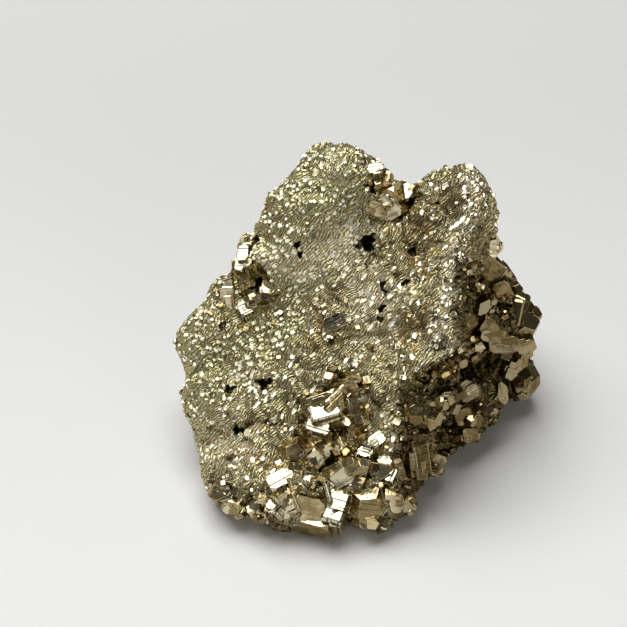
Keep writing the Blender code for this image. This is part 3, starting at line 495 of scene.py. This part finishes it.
def drawn_out(place, stretch):
    """The same place squeezed along the grain, so that round spots are drawn out that way."""
    along = place.dot(GRAIN_RUNS) * (1 / stretch - 1)
    return place + (place * 0.0 + GRAIN_RUNS).lengthened(along)


def dome(distance, reach):
    """A round dome on a grain, out to this distance from its middle."""
    return (1 - (distance / reach).power(2)).at_least(0.0)


def swirled(place):
    """The same place stirred about, so that straight rows become swirls."""
    return place + (place.noise(SWIRL_PITCH, output="Color") - MIDDLE_DRAW) * SWIRL


def parallel_face(cell, reach, share, spread):
    """Flat faces on a share of the grains: how far a place is on one, 0 to 1, and the way it looks."""
    draw = cell.other("Color")
    chosen = (draw.dot(FIRST_DRAW) + share - 1.0).rise(-0.01, 0.01)
    width = draw.dot(SECOND_DRAW) * 0.5 + 0.55
    on_face = (1 - cell / (width * reach)).rise(0.0, 0.3)
    way = (draw - MIDDLE_DRAW) * spread + PARALLEL_FACES
    return on_face * chosen, way


def facet(place, pitch):
    """A surface broken in flat grains, each tilted its own way."""
    middle = place.cells(pitch)
    tilt = middle.other("Color") - MIDDLE_DRAW
    return (place - middle.other("Position")).dot(tilt)


def strokes(place):
    """The same grains as in cells, drawn out along the grain of the front face."""
    return drawn_out(place, STROKE_STRETCH).cells(STROKE_PITCH)


def relief_modifier(obj):
    """Pushes the crust out in domes, ridges and tilted facets, and keeps the marks its material reads."""
    tree = bpy.data.node_groups.new("crust relief", "GeometryNodeTree")
    tree.interface.new_socket("Geometry", in_out="INPUT", socket_type="NodeSocketGeometry")
    tree.interface.new_socket("Geometry", in_out="OUTPUT", socket_type="NodeSocketGeometry")
    start = Signal(tree).node("NodeGroupInput")
    place = start.node("GeometryNodeInputPosition") * (1 / MM)
    grain = start.node("GeometryNodeInputNamedAttribute", {"data_type": "FLOAT"}, {"Name": "grain"})
    warped = swirled(place)
    shaded_flank = flank_share(place)
    domed, broken = zones(place, shaded_flank)
    ridged = (1 - domed) * (1 - broken)

    lumps = (place.noise(LUMP_PITCH, 2.0) - 0.5) * LUMP_HEIGHT
    spots = place.cells(DOME_PITCH)
    share = spots.other("Color").dot(FIRST_DRAW)
    domes = dome(spots, GRAIN_REACH) * (share * DOME_MORE + DOME_LEAST)
    waves = drawn_out(warped, WAVE_STRETCH).noise(WAVE_PITCH, 1.0)
    ridges = dome(strokes(warped), GRAIN_REACH) * STROKE_HEIGHT + (1 - (waves * 2 - 1).size()) * WAVE_HEIGHT
    chips = facet(warped + CHIPS_SHIFT, CHIP_PITCH) * CHIP_TILT
    facets = facet(warped, FACET_PITCH) * FACET_TILT + chips
    folds = facet(warped, FOLD_PITCH) * FOLD_TILT
    height = (lumps + domes * domed + (ridges + folds) * ridged + facets * broken - SET_DOWN) * grain

    moved = start.node(
        "GeometryNodeSetPosition",
        {},
        {"Geometry": start, "Offset": start.node("GeometryNodeInputNormal").lengthened(height * MM)},
    )
    for name, value in (("height", height), ("domed", domed), ("broken", broken), ("shaded_flank", shaded_flank)):
        moved = start.node(
            "GeometryNodeStoreNamedAttribute",
            {"data_type": "FLOAT", "domain": "POINT"},
            {"Geometry": moved, "Name": name, "Value": value},
        )
    end = tree.nodes.new("NodeGroupOutput")
    tree.links.new(moved.socket, end.inputs[0])
    obj.modifiers.new("relief", "NODES").node_group = tree


def add_object(name, mesh):
    obj = bpy.data.objects.new(name, mesh)
    bpy.context.scene.collection.objects.link(obj)
    return obj


def evaluated(obj):
    """The object's mesh with its modifiers applied."""
    graph = bpy.context.evaluated_depsgraph_get()
    mesh = bpy.data.meshes.new_from_object(obj.evaluated_get(graph))
    obj.modifiers.clear()
    return mesh


def read(items, name, width=1, kind=np.float32):
    """One property of every vertex, corner or face of a mesh as an array."""
    values = np.zeros(len(items) * width, kind)
    items.foreach_get(name, values)
    return values.reshape(-1, width) if width > 1 else values


def quad_mesh(name, points, quads, marks):
    mesh = bpy.data.meshes.new(name)
    mesh.vertices.add(len(points))
    mesh.vertices.foreach_set("co", points.ravel())
    mesh.loops.add(quads.size)
    mesh.loops.foreach_set("vertex_index", quads.astype(np.int32).ravel())
    mesh.polygons.add(len(quads))
    mesh.polygons.foreach_set("loop_start", np.arange(0, quads.size, 4, dtype=np.int32))
    mesh.update(calc_edges=True)
    for mark, values in marks.items():
        kind, socket = ("FLOAT", "value") if values.ndim == 1 else ("FLOAT_VECTOR", "vector")
        data = mesh.attributes.new(mark, kind, "POINT").data
        data.foreach_set(socket, values.astype(np.float32).ravel())
    mesh.shade_smooth()
    return mesh


def form_faces(form):
    """The flat faces of one crystal form, as the way each looks and how far it lies from the middle."""
    signs = (1, -1)
    cube = [Vector(axis) * sign for axis in ((1, 0, 0), (0, 1, 0), (0, 0, 1)) for sign in signs]
    corners = [Vector((a, b, c)).normalized() for a in signs for b in signs for c in signs]
    slants = []
    for a in signs:
        for b in signs:
            slants += [Vector((2 * a, b, 0)), Vector((0, 2 * a, b)), Vector((b, 0, 2 * a))]
    slants = [slant.normalized() for slant in slants]
    faces = [(face, 1.0) for face in cube]
    if form == "cornered":
        faces += [(corner, CORNER_CUT) for corner in corners]
    if form == "bevelled":
        faces += [(slant, EDGE_CUT) for slant in slants]
    if form == "pyritohedron":
        faces = [(slant, PYRITOHEDRON_FACE) for slant in slants]
    return faces


def crystal_block(form):
    """One crystal of half size 1 about the origin, as a bmesh."""
    bm = bmesh.new()
    geom = bmesh.ops.create_cube(bm, size=BLOCK_SIZE)["verts"]
    geom = geom + bm.edges[:] + bm.faces[:]
    for way, distance in form_faces(form):
        cut = bmesh.ops.bisect_plane(bm, geom=geom, plane_co=way * distance, plane_no=way, clear_outer=True)
        rim = [item for item in cut["geom_cut"] if isinstance(item, bmesh.types.BMEdge)]
        if rim:
            bmesh.ops.edgeloop_fill(bm, edges=rim)
        geom = bm.verts[:] + bm.edges[:] + bm.faces[:]
    bmesh.ops.recalc_face_normals(bm, faces=bm.faces)
    return bm


def crystal_turn(form, looks, runs):
    """The crystal's own axes as the columns of a matrix: along, across and out of its top."""
    face = looks.normalized()
    ridge = (runs - face * runs.dot(face)).normalized()
    across = face.cross(ridge)
    tilt = PYRITOHEDRON_TILT if form == "pyritohedron" else 0.0
    top = face * math.cos(tilt) - ridge * math.sin(tilt)
    return Matrix((across.cross(top), across, top)).transposed()


def listed_crystals():
    """Every listed crystal where it stands: name, form, centre, half sizes and axes."""
    for crystals, axes in ((FRONT_CRYSTALS, SLOPE), (SIDE_CRYSTALS, Matrix.Identity(3))):
        for name, form, centre, half_sizes, looks, runs in crystals:
            place = axes @ Vector(centre) + TO_STAND
            turn = crystal_turn(form, axes @ Vector(looks), axes @ Vector(runs))
            yield name, form, place, Vector(half_sizes), turn


def smooth_rise(values, start, end):
    """Signal's rise, on an array."""
    share = np.clip((values - start) / (end - start), 0, 1)
    return share * share * (3 - 2 * share)


def tuck_under_crystals(points):
    """Sinks the crust under every crystal's faces.

    Gives each point's share of grain, none beside a crystal, and how far it is among crystals, 0 to 1.
    """
    grain = np.ones(len(points))
    among = np.zeros(len(points))
    for name, form, place, half_sizes, turn in listed_crystals():
        reach = max(half_sizes) * BLOCK_SIZE / 2 + AMONG_ENDS
        offset = points - np.array(place)
        near = np.flatnonzero((offset * offset).sum(1) < reach * reach)
        faces = form_faces(form)
        ways = np.array([[value / half for value, half in zip(way, half_sizes)] for way, distance in faces])
        lengths = np.linalg.norm(ways, axis=1)
        local = offset[near] @ np.array(turn)
        gaps = (local @ ways.T - np.array([distance for way, distance in faces])) / lengths
        nearest = gaps.argmax(1)
        gap = gaps[np.arange(len(near)), nearest]
        outward = (ways / lengths[:, None])[nearest] @ np.array(turn).T
        sunk = gap < TUCK_MARGIN
        points[near[sunk]] -= outward[sunk] * (gap[sunk] + TUCK_DEPTH)[:, None]
        grain[near] = np.minimum(grain[near], smooth_rise(gap, TUCK_MARGIN, GRAIN_RETURNS))
        among[near] = np.maximum(among[near], 1 - smooth_rise(gap, GRAIN_RETURNS, AMONG_ENDS))
    return grain, among


def press_pits(points, normals):
    """Small dark pits of ragged outline in the front face. Gives how deep each point has sunk."""
    sunk = np.zeros(len(points))
    seen = normals @ np.array(SLOPE_OUT) > PITS_FACE
    slope = (points - np.array(TO_STAND)) @ np.array(SLOPE)
    for across, up, radius, depth in PITS:
        beside, above = slope[:, 0] - across, slope[:, 1] - up
        ways = np.arctan2(above, beside)
        ragged = 1 + PIT_LOBES * np.sin(3 * ways + across) + PIT_NICKS * np.sin(5 * ways + up)
        distance = np.hypot(beside, above) * ragged
        inside = seen & (distance < radius * PIT_RIM)
        sink = depth * (1 - smooth_rise(distance[inside], radius * PIT_FLOOR, radius * PIT_RIM))
        points[inside] -= np.array(SLOPE_OUT) * sink[:, None]
        sunk[inside] += sink
    return sunk


def pale_share(points, normals):
    """How pale each point of the front face is, below 0 where it is brown: partly wear and stains, partly
    painted light and shade.
    """
    pale = np.zeros(len(points))
    seen = normals @ np.array(SLOPE_OUT) > 0
    slope = (points - np.array(TO_STAND)) @ np.array(SLOPE)
    for across, up, radius, shade in PATCHES:
        distance = np.hypot(slope[:, 0] - across, slope[:, 1] - up)
        pale += seen * shade * (1 - smooth_rise(distance, radius * PATCH_CORE, radius * PATCH_RIM))
    return np.clip(pale, -1, 1)


def make_crust():
    """The rock's skin on a fine grid, with its relief: points in metres, their normals, quads and marks."""
    skin = add_object("skin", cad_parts[ROCK].data.copy())
    grid = skin.modifiers.new("fine grid", "REMESH")
    grid.mode = "VOXEL"
    grid.voxel_size = CRUST_GRID * MM
    soften = skin.modifiers.new("soften facets", "SMOOTH")
    soften.iterations = SOFTENING_ROUNDS
    skin.data = evaluated(skin)
    points = read(skin.data.vertices, "co", 3).astype(float) / MM
    normals = read(skin.data.vertices, "normal", 3)
    before = points.copy()
    pale = pale_share(points, normals)
    sunk = press_pits(points, normals)
    grain, among = tuck_under_crystals(points)
    skin.data.vertices.foreach_set("co", (points * MM).astype(np.float32).ravel())
    for mark, values in (("grain", grain), ("among", among), ("pale", pale)):
        skin.data.attributes.new(mark, "FLOAT", "POINT").data.foreach_set("value", values.astype(np.float32))
    skin.data.update()
    relief_modifier(skin)
    mesh = evaluated(skin)
    points = read(mesh.vertices, "co", 3)
    points[:, 2] = np.maximum(points[:, 2], 0)
    normals = read(mesh.vertices, "normal", 3)
    quads = read(mesh.loops, "vertex_index", 1, np.int32).reshape(-1, 4)
    marks = {mark: read(mesh.attributes[mark].data, "value") for mark in MARKS}
    marks["height"] -= sunk.astype(np.float32)
    marks[SKIN] = before
    bpy.data.objects.remove(skin)
    return points, normals, quads, marks


def crust_part(name, points, quads, marks, chosen):
    """Some of the quads as an object, and where the points that they use come among all."""
    used, corners = np.unique(quads[chosen], return_inverse=True)
    own = {mark: values[used] for mark, values in marks.items()}
    return add_object(name, quad_mesh(name, points[used], corners.reshape(-1, 4), own)), used


def crust_pieces(points, quads, marks):
    """The crust as objects: the near side in slabs on its full grid, and the far side thinned out."""
    middles = points[quads].mean(1) / MM - np.array(ROCK_MIDDLE)
    tilt = math.radians(CAMERA_ELEVATION)
    outward = middles @ np.array((0, -math.cos(tilt), math.sin(tilt)))
    near = outward / np.linalg.norm(middles, axis=1) > FAR_SIDE_BEGINS
    ends = np.quantile(middles[near][:, 0], np.linspace(0, 1, CRUST_SLABS + 1))
    ends[0], ends[-1] = -math.inf, math.inf
    pieces = []
    for i in range(CRUST_SLABS):
        chosen = near & (middles[:, 0] >= ends[i]) & (middles[:, 0] < ends[i + 1])
        slab, used = crust_part(f"crust_front_{i + 1}", points, quads, marks, chosen)
        pieces.append(slab)
    far, used = crust_part("crust_back", points, quads, marks, ~near)
    shared = np.isin(used, np.unique(quads[near]))
    free = far.vertex_groups.new(name="free")
    free.add([int(i) for i in np.flatnonzero(~shared)], 1.0, "REPLACE")
    thin = far.modifiers.new("thin out", "DECIMATE")
    thin.ratio = FAR_SIDE_SHARE
    thin.vertex_group = "free"
    far.data = evaluated(far)
    far.vertex_groups.clear()
    pieces.append(far)
    return pieces


def small_crystal_sites(points, marks):
    """Where small crystals stand: at most one in every cell of space, and most where the crust is broken."""
    cells = np.floor(points / SMALL_SPACING).astype(int)
    offset = points - (cells + 0.5) * SMALL_SPACING
    order = np.argsort((offset * offset).sum(1), kind="stable")
    kept, first = np.unique(cells[order], axis=0, return_index=True)
    for cell, index in zip(kept, order[first]):
        draw = random.Random(str(cell.tolist()))
        among = max(marks["broken"][index], marks["among"][index] * 0.6)
        share = (TAKEN_ANYWHERE + among * TAKEN_BROKEN) * (1 - marks["shaded_flank"][index] * FEWER_ON_SHADED_FLANK)
        if marks["grain"][index] > 0.3 and draw.random() < share:
            yield index, among, draw


def small_turn(draw):
    """Axes of one small crystal. Many of them grew nearly parallel."""
    spin = Matrix.Rotation(draw.uniform(0, math.tau), 3, "Z")
    way = any_way(draw).normalized()
    if draw.random() < PARALLEL_SHARE:
        way = (Vector(PARALLEL_FACES) + way * PARALLEL_WANDER).normalized()
    return way.to_track_quat("Z", "Y").to_matrix() @ spin


def striated_axis(normal):
    """The crystal axis that striations are counted along, on a face that looks this way."""
    sizes = [abs(value) for value in normal]
    return (sizes.index(max(sizes)) + 2) % 3


def small_crystals(name, points, normals, marks):
    """The crust's small crystals as one piece, with the same marks on their faces as the large ones."""
    forms = []
    for form in ("cube", "cornered", "pyritohedron"):
        block = crystal_block(form)
        corners = [vert.co.copy() for vert in block.verts]
        faces = [[vert.index for vert in face.verts] for face in block.faces]
        forms.append((corners, faces, [striated_axis(face.normal) for face in block.faces]))
        block.free()
    verts, polygons, lines, tones = [], [], [], []
    for index, among, draw in small_crystal_sites(points, marks):
        corners, faces, across = draw.choice(forms)
        larger = (SMALL_MOST - SMALL_LEAST) * draw.random() ** SMALL_RARITY
        size = SMALL_LEAST + larger * (0.25 + among * 0.75)
        shape = Vector([size * draw.uniform(*SMALL_STRETCH) for axis in range(3)])
        turn = small_turn(draw)
        place = Vector(points[index]) + Vector(normals[index]) * size * SMALL_RISE
        start = len(verts)
        shade = draw.random()
        for corner in corners:
            vert = place + turn @ Vector([value * half for value, half in zip(corner, shape)])
            vert.z = max(vert.z, 0.0)
            verts.append(vert * MM)
        for face, axis in zip(faces, across):
            polygons.append([start + corner for corner in face])
            lines += [corners[corner][axis] * shape[axis] + shade * LINES_APART for corner in face]
            tones += [draw.random()] * len(face)
    mesh = bpy.data.meshes.new(name)
    mesh.from_pydata(verts, [], polygons)
    for mark, values in (("lines", lines), ("tone", tones)):
        mesh.attributes.new(mark, "FLOAT", "CORNER").data.foreach_set("value", values)
    return add_object(name, mesh)


def any_way(draw):
    """A direction drawn at random, not yet of length 1."""
    return Vector([draw.gauss(0, 1) for axis in range(3)])


def joined_crystals(name, crystals):
    """Several crystals as one piece, every edge lightly worn and every face marked with its striations."""
    bm = bmesh.new()
    lines = bm.loops.layers.float.new("lines")
    tone = bm.loops.layers.float.new("tone")
    for crystal_name, form, place, half_sizes, turn in crystals:
        draw = random.Random(crystal_name)
        blocks = [(Vector((0, 0, 0)), 1.0, Matrix.Identity(3))]
        corners = [vert.co.copy() for vert in crystal_block(form).verts]
        tops = [face for face in form_faces(form) if face[0].z > 0.8]
        for i in range(JOINED_CLEAN if crystal_name.startswith(CLEAN_CRYSTALS) else JOINED_REST):
            size = draw.uniform(*JOINED_SIZES)
            way = draw.choice(tops if i < JOINED_ON_TOP else form_faces(form))[0]
            axis = any_way(draw).normalized()
            lean = Matrix.Rotation(math.radians(draw.uniform(*JOINED_LEAN)), 3, axis)
            tip = max((lean @ corner * size).dot(way) for corner in corners)
            aside = way.cross(any_way(draw)).normalized() * draw.uniform(*JOINED_ASIDE)
            blocks.append((aside + way * (draw.uniform(*JOINED_REACH) - tip), size, lean))
        shade = draw.random()
        striated = crystal_name.startswith(STRIATED_CRYSTALS)
        for shift, size, lean in blocks:
            part = crystal_block(form)
            for vert in part.verts:
                local = lean @ (vert.co * size) + shift
                vert.co = Vector([value * half for value, half in zip(local, half_sizes)])
            edges = part.edges[:]
            bmesh.ops.bevel(part, geom=edges, offset=EDGE_WEAR, segments=1, affect="EDGES", profile=0.5)
            part.normal_update()
            add_marked(bm, part, lines, tone, place, turn, shade, draw, striated)
            part.free()
    mesh = bpy.data.meshes.new(name)
    bm.to_mesh(mesh)
    bm.free()
    return add_object(name, mesh)


def add_marked(bm, part, lines, tone, place, turn, shade, draw, striated):
    """Copies one crystal into a larger bmesh. Striations run along one crystal axis on each face.

    The tone of a face is from 0 to 1, and below 0 where it is clean and deeply striated.
    """
    copies = {}
    for vert in part.verts:
        stands = place + turn @ vert.co
        stands.z = max(stands.z, 0.0)
        copies[vert] = bm.verts.new(stands * MM)
    for face in part.faces:
        across = striated_axis(face.normal)
        made = bm.faces.new([copies[vert] for vert in face.verts])
        own = draw.random()
        for loop, vert in zip(made.loops, face.verts):
            loop[lines] = vert.co[across] + shade * LINES_APART
            loop[tone] = -1.0 if striated else own


def new_material(name):
    """A material, its surface, and where its nodes start."""
    material = bpy.data.materials.new(name)
    material.use_nodes = True
    return material, material.node_tree.nodes["Principled BSDF"], Signal(material.node_tree)


def pyrite_material(name):
    """The same for a bare metal."""
    material, surface, start = new_material(name)
    surface.inputs["Metallic"].default_value = 1.0
    surface.inputs["Specular Tint"].default_value = GRAZING_TINT
    return material, surface, start


def marked(start, name, output="Fac"):
    """A mark that the mesh carries."""
    return start.node("ShaderNodeAttribute", {"attribute_name": name}, output=output)


def bumped(fine):
    """The surface's direction with fine relief, given in millimetres."""
    return fine.node("ShaderNodeBump", {}, {"Strength": 1.0, "Distance": MM, "Height": fine})


def finish_surface(surface, colour, roughness, normal):
    for name, signal in (("Base Color", colour), ("Roughness", roughness), ("Normal", normal)):
        signal.tree.links.new(signal.socket, surface.inputs[name])


def crust_material():
    """Fine-grained pyrite: pale brass on the tips, and painted shade of olive brown in the gaps, among
    crystals and between ridges; a painted highlight on the crest and painted shade on the right flank.
    """
    material, surface, start = pyrite_material("fine pyrite")
    place = marked(start, SKIN, "Vector")
    among, pale, domed, broken, shaded_flank, height = [marked(start, mark) for mark in MARKS[1:]]
    ridged = (1 - domed) * (1 - broken)
    warped = swirled(place)

    rows = warped.dot(DOMES_LIE) * ROWS_PER_MM + place.noise(3.2) * ROWS_BEND + place.noise(0.7) * ROWS_FRAY
    ridges = rows.maths("SINE", rows) * warped.noise(1.0).rise(0.25, 0.5)
    specks = dome(warped.cells(SPECK_PITCH), SPECK_REACH)
    chips = facet(warped, SPLINTER_PITCH) * (1 - shaded_flank * 0.5)
    fine = ridges * (ridged * 0.06 + 0.055) * (1 - broken * 0.6)
    fine = fine + specks * (domed * 0.02 + 0.02) + chips * broken * 0.7
    normal = bumped(fine)

    beside = (place.dot(CREST_LIES) - CREST_MIDDLE + (place.noise(4.0) - 0.5) * CREST_WANDER).size()
    crest = (1 - beside.rise(0.8, 2.4)) * place.dot(SLOPE_UP).rise(12.0, 16.0)
    clean = broken * 0.0
    for on_face, way in (
        parallel_face(place.cells(DOME_PITCH), 0.45, domed * 0.9 + crest * 0.9, 0.7),
        parallel_face(strokes(warped), 0.42, ridged * 0.65 + crest * 0.4 + pale * 0.4, 1.0),
        parallel_face(warped.cells(1.5), 0.36, (1 - domed) * 0.5 + pale * 0.3, 0.9),
        parallel_face(warped.cells(1.1), 0.6, broken * (0.3 - shaded_flank * 0.15), 0.9),
    ):
        normal = normal + (way - normal).lengthened(on_face)
        clean = clean.at_least(on_face)
    normal = normal.vector_maths("NORMALIZE", normal)

    patch = place.noise(4.0, 3.0).rise(0.5, 0.68) * (1 - domed)
    tips = patch.colour_blend(BRASS, WARM_BRASS)
    tips = domed.colour_blend(tips, DOME_OLIVE)
    # Painted highlight and shade: the crest and the pale patches are painted paler, the brown patches darker;
    # the patches are partly wear and stains.
    tips = pale.at_least(crest * 0.8).colour_blend(tips, PALE_BRASS_AND_HIGHLIGHT)
    tips = (0 - pale).at_least(0.0).colour_blend(tips, STAIN_AND_SHADE_BROWN)
    # Painted shade: low places, the crust among crystals on broken ground and the furrows between fine ridges
    # are darkened towards the gap colour.
    lit = height.rise(-0.65, -0.15) * (1 - among * broken * 0.5) * (ridges * 0.46 + 0.67)
    colour = lit.colour_blend(GAP_SHADE_BROWN, tips)
    colour = clean.colour_blend(colour, GRAIN_FACE)
    # Painted shade over the right flank.
    colour = shaded_flank.colour_blend(colour, colour * CRUST_FLANK_SHADE)
    roughness = place.noise(1.5, 2.0) * 0.2 + pale.at_least(0.0) * 0.2 + 0.26 + clean * (domed * 0.22 - 0.1)
    finish_surface(surface, colour, roughness, normal)
    return material


def crystal_material():
    """Clean crystal faces with fine striations, a few of them warm with tarnish, with painted shade in dark
    lines along the striations and over the right flank.
    """
    material, surface, start = pyrite_material("crystal faces")
    place = start.node("ShaderNodeTexCoord", output="Object") * (1 / MM)
    tone = marked(start, "tone")
    across = start.node("ShaderNodeCombineXYZ", {}, {"X": marked(start, "lines")})

    steps = across.noise(0.5, 3.0, 0.6) * place.noise(2.5) * (tone.power(2) * 0.26 + 0.03)
    normal = bumped(steps + place.noise(3.0) * 0.3 + place.noise(0.25) * 0.005)

    warm = (place.noise(3.0, 2.0) + tone * 0.5).rise(0.6, 0.9)
    film = (place.noise(1.6, 3.0) + tone * 0.7).rise(0.75, 1.1)
    colour = film.colour_blend(warm.colour_blend(CLEAN_FACE, WARM_FACE), FACE_FILM)
    # Painted shade in the striations' grooves: dark lines along them, in streaks, and all over the deeply
    # striated crystals.
    streaked = (place + STREAKS_SHIFT).noise(2.0).rise(0.42, 0.58).at_least(0 - tone)
    painted_groove_shade = (across.noise(0.45, 1.0) - tone * 0.05).rise(0.58, 0.63) * streaked
    colour = colour * (1 - painted_groove_shade * (0.45 - tone * 0.37))
    # Painted shade over the crystals of the right flank.
    colour = flank_share(place).colour_blend(colour, colour * FACE_FLANK_SHADE)
    finish_surface(surface, colour, place.noise(1.2, 3.0) * 0.16 + 0.1, normal)
    return material


def place_camera():
    data = bpy.data.cameras.new("camera")
    data.lens = CAMERA_LENS
    data.clip_start = CAMERA_NEAREST * MM
    camera = add_object("camera", data)
    tilt = math.radians(CAMERA_ELEVATION)
    away = Vector((0, -math.cos(tilt), math.sin(tilt)))
    camera.location = (CAMERA_TARGET + away * CAMERA_DISTANCE) * MM
    camera.rotation_euler = (math.pi / 2 - tilt, 0, 0)
    bpy.context.scene.camera = camera


def soft_light(name, towards, distance, size, power, colour=(1, 1, 1)):
    """A square softbox, seen from the rock in the given direction, with its distance and size in metres."""
    data = bpy.data.lights.new(name, "AREA")
    data.shape = "SQUARE"
    data.size = size
    data.energy = power
    data.color = colour
    light = add_object(name, data)
    way = Vector(towards).normalized()
    light.location = CAMERA_TARGET * MM + way * distance
    light.rotation_euler = way.to_track_quat("Z", "Y").to_euler()


def make_floor():
    """A sheet of pale paper, painted a little darker behind the rock and lighter in front, as painted light.
    """
    mesh = bpy.data.meshes.new("floor")
    corners = [(x * FLOOR_HALF, y * FLOOR_HALF, 0) for x, y in ((-1, -1), (1, -1), (1, 1), (-1, 1))]
    mesh.from_pydata(corners, [], [(0, 1, 2, 3)])
    floor = add_object("floor", mesh)
    paper, surface, start = new_material("pale paper")
    place = start.node("ShaderNodeTexCoord", output="Object") * (1 / MM)
    # Painted light: the paper is lighter in front of the rock and darker behind it.
    near = (place.dot((0.0, -1.0, 0.0)) + place.noise(60.0, 2.0) * 12.0).rise(-110.0, 90.0)
    colour = near.colour_blend(PAPER_FAR_SHADED, PAPER_NEAR_LIT)
    paper.node_tree.links.new(colour.socket, surface.inputs["Base Color"])
    surface.inputs["Roughness"].default_value = 0.7
    surface.inputs["Specular IOR Level"].default_value = 0.2
    mesh.materials.append(paper)


def make_studio():
    """The floor, the lights, and a wall of soft light that is brighter low down."""
    make_floor()
    soft_light("key", KEY_TOWARDS, distance=0.9, size=0.86, power=9.8, colour=KEY_COLOUR)
    soft_light("front fill", FILL_TOWARDS, distance=0.6, size=0.3, power=0.4)

    world = bpy.data.worlds.new("studio")
    world.use_nodes = True
    background = world.node_tree.nodes["Background"]
    start = Signal(world.node_tree)
    height = start.node("ShaderNodeTexCoord", output="Generated").dot((0.0, 0.0, 1.0))
    wall = height.rise(0.05, 0.6).colour_blend(WALL_LOW, WALL_HIGH)
    world.node_tree.links.new(wall.socket, background.inputs["Color"])
    bpy.context.scene.world = world
    bpy.context.scene.view_settings.view_transform = "Standard"


place_camera()
make_studio()
crust_finish = crust_material()
crystal_finish = crystal_material()
points, normals, quads, marks = make_crust()
pieces = [(piece, crust_finish) for piece in crust_pieces(points, quads, marks)]
pieces.append((small_crystals("small_crystals", points / MM, normals, marks), crystal_finish))
crystals = list(listed_crystals())
front = len(FRONT_CRYSTALS)
for name, group in (("front_crystals", crystals[:front]), ("side_crystals", crystals[front:])):
    pieces.append((joined_crystals(name, group), crystal_finish))
for piece, finish in pieces:
    piece.data.materials.append(finish)
    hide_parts(ROCK)
    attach(piece, "root")
